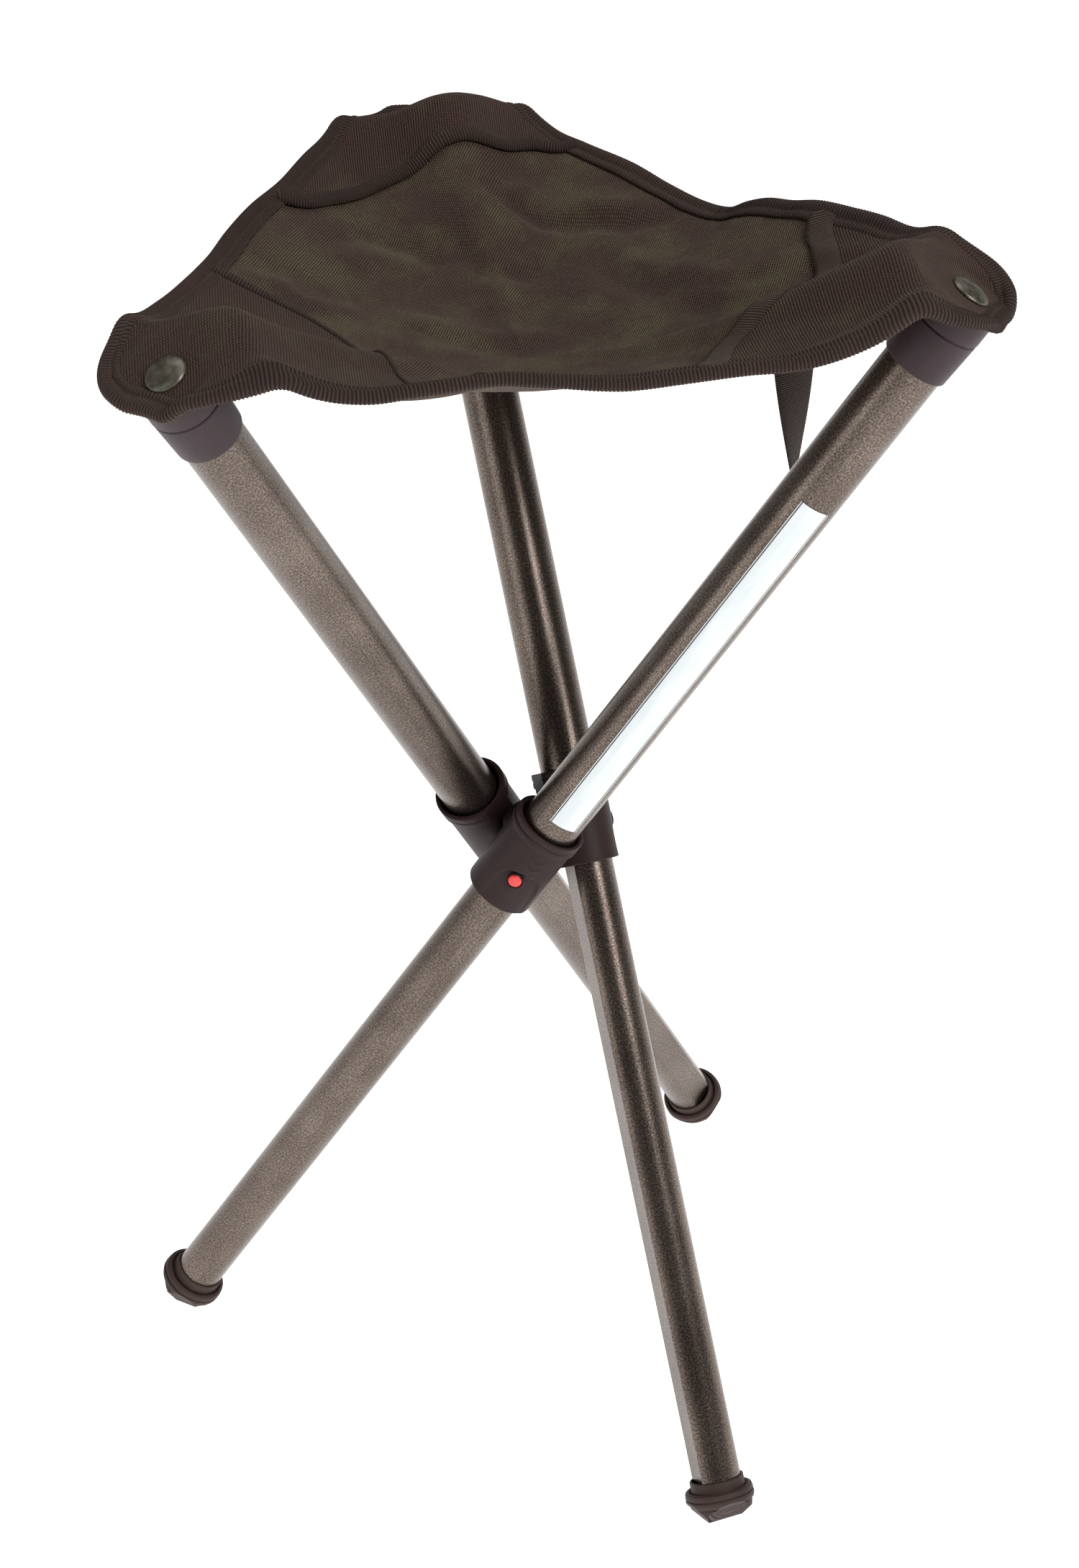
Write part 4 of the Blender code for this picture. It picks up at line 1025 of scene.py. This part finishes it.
def build_binding(key):
    """The ribbed tape folded round the rim, with its width wandering a little."""
    az = third(key, 0.05)
    s = arc_lengths(np.stack(polar(az, outline(az)), -1))
    at = np.linspace(0.0, s[-1], int(round(s[-1] / RIB_SPACING)) + 1)
    az = np.interp(at, s, az)
    line = np.stack(polar(az, outline(az)), -1)
    loop = np.array(BINDING)
    inset, lift = np.tile(loop[:, 0], (len(az), 1)), np.tile(loop[:, 1], (len(az), 1))
    rib = np.where(np.arange(len(az)) % 2 == 0, 0.17, -0.09)[:, None]
    mask = np.zeros(len(BINDING))
    mask[list(RIBBED)] = 1.0
    lift = lift + rib * mask * np.where(lift > 0, 1.0, -1.0)
    wander = 0.25 * np.sin(at / 17.0) + 0.2 * np.sin(at / 6.1 + 1.0)
    inset = inset + wander[:, None] * (inset > 5.0)
    inset = inset - rib * mask * (np.abs(lift) < 1.8) * (inset < 1.2)
    mesh = along_path("binding", line, at, inset, lift, loop)
    cloth("edge_binding_" + key, mesh, None, M_BINDING, key, ["edge_binding"])


# ---- carrying strap
STRAP_AZ, STRAP_INSET, STRAP_LENGTH, STRAP_DRIFT = 11.0, 3.0, 115.0, 5.0
STRAP_WIDTH, STRAP_THICK, STRAP_TURN = 18.0, 1.4, -134.0
STRAP_SEWN = 3.4                 # the strap's top is sewn to the binding's underside


def build_strap():
    """A woven strap sewn under the binding, hanging free, with an even twist and a bare end."""
    edge = math.radians(30.0)
    along, outwards = np.array([-math.sin(edge), math.cos(edge)]), np.array([math.cos(edge), math.sin(edge)])
    start = np.array(polar(STRAP_AZ, float(outline(STRAP_AZ)) - STRAP_INSET))
    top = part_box("hang_strap")[1][2] / MM + STRAP_SEWN
    section = []
    half, t = STRAP_WIDTH / 2, STRAP_THICK / 2
    for u in np.linspace(-1, 1, 15):
        section.append((u * half, -t * (0.55 if abs(u) > 0.99 else 1.0)))
    section += [(a, -b) for a, b in section[::-1]]
    section = np.array(section)
    f = np.linspace(0.0, 1.0, 129)
    loops, path = [], []
    for k, at in enumerate(f):
        turn = math.radians(STRAP_TURN) * at
        u = along * math.cos(turn) + outwards * math.sin(turn)
        v = outwards * math.cos(turn) - along * math.sin(turn)
        centre = start + np.array([STRAP_DRIFT * at, 0.0])
        bulge = 0.4 * math.sin(at * 5.0) * math.sin(math.pi * at)
        thick = 1.0 + (0.08 if k % 2 else -0.08)
        plan = centre + section[:, :1] * u + (section[:, 1:] * thick + bulge) * v
        z = np.full((len(section), 1), top - STRAP_LENGTH * at)
        loops.append(np.hstack([plan, z]) + PLACE)
        path.append(np.append(centre, top - STRAP_LENGTH * at) + PLACE)
    points = np.array(loops)
    around = arc_lengths(np.vstack([section, section[:1]]))
    uv = uv_grid((f * STRAP_LENGTH * MM)[:, None], (around * MM)[None, :])
    mesh = closed_tube("strap", points, uv)
    ob = finish_mesh("hang_strap_skin", mesh, M_WEBBING, None, (), 50)
    bend_with(ob, "b", ["hang_strap"])
    path = np.array(path) * MM
    tuple(path[0])
    float(arc_lengths(path)[-1])


# ---- camera
CAMERA_LENS, CAMERA_SENSOR, CAMERA_SHIFT = 65.73, 36.0, (0.0210, -0.0091)
CAMERA_AT = (-0.2281, -0.9710, 0.8771)               # metres, from the floor under the hub
CAMERA_TURN = ((-12.70, "Z"), (58.98, "X"), (-0.849, "Z"))


def build_camera():
    data = bpy.data.cameras.new("camera")
    data.lens, data.sensor_width = CAMERA_LENS, CAMERA_SENSOR
    data.shift_x, data.shift_y = CAMERA_SHIFT
    data.clip_start, data.clip_end = 0.05, 50.0
    ob = plain_object("camera", data)
    x, y, z = CAMERA_AT
    place = Matrix.Translation((x + HUB.x * MM, y + HUB.y * MM, z))
    turn = Matrix.Identity(4)
    for angle, axis in CAMERA_TURN:
        turn = turn @ Matrix.Rotation(math.radians(angle), 4, axis)
    ob.matrix_world = place @ turn
    bpy.context.scene.camera = ob


# ---- studio
def softbox(name, position, aim, size, watts):
    data = bpy.data.lights.new(name, "AREA")
    data.shape, data.size, data.size_y = "RECTANGLE", size[0], size[1]
    data.energy = watts
    ob = plain_object(name, data)
    ob.location = position
    ob.rotation_euler = (Vector(aim) - Vector(position)).to_track_quat("-Z", "Y").to_euler()


def build_studio():
    n = Nodes("studio_floor")
    n.set(Base_Color=(0.9, 0.9, 0.9, 1.0), Roughness=0.9, Emission_Color=(1.0, 1.0, 1.0, 1.0),
          Emission_Strength=1.0)
    mesh = bpy.data.meshes.new("floor")
    half = 6.0
    corners = [(-half, -half, 0), (half, -half, 0), (half, half, 0), (-half, half, 0)]
    mesh.from_pydata(corners, [], [(0, 1, 2, 3)])
    mesh.materials.append(n.mat)
    floor = plain_object("floor", mesh)
    floor.location.z = -0.0005

    world = bpy.data.worlds.new("studio")
    bpy.context.scene.world = world
    world.use_nodes = True
    tree = world.node_tree
    background = tree.nodes["Background"]
    co = tree.nodes.new("ShaderNodeTexCoord")
    split = tree.nodes.new("ShaderNodeSeparateXYZ")
    ramp = tree.nodes.new("ShaderNodeValToRGB")
    tree.links.new(co.outputs["Generated"], split.inputs[0])
    tree.links.new(split.outputs["Z"], ramp.inputs[0])
    tree.links.new(ramp.outputs[0], background.inputs["Color"])
    levels = ((0.0, 0.80), (0.06, 0.45), (0.18, 0.06), (1.0, 0.03))
    fill_ramp(ramp, [(at, (level,) * 3) for at, level in levels])
    background.inputs["Strength"].default_value = 1.0
    softbox("key", (0.75, -1.15, 1.55), (0.0, 0.0, 0.42), (0.55, 1.1), 24.0)
    softbox("left_fill", (-1.5, -0.5, 0.9), (0.0, 0.0, 0.35), (0.8, 1.4), 6.0)
    softbox("overhead", (0.1, 0.5, 1.9), (0.0, 0.0, 0.45), (1.2, 1.2), 8.0)
    bpy.context.scene.view_settings.view_transform = "Standard"


build_camera()
build_strap()
foot_master = foot_mesh()
for key in KEYS:
    build_tubes(key)
    build_sleeve(key)
    build_button(key)
    build_cup(key)
    build_rivet(key)
    build_foot(key, foot_master)
    build_panel(key)
    build_patch(key)
    build_seam(key)
    build_binding(key)
build_label()
CAD_LOOKS = {"hub_block": M_HUB}
for key in KEYS:
    CAD_LOOKS.update({"pivot_pin_" + key: M_STEEL, "snap_clip_" + key: M_STEEL, "glide_bush_" + key: M_BUSH})
for node, mat in CAD_LOOKS.items():
    for slot in bpy.data.objects[node].material_slots:
        slot.material = mat
build_studio()
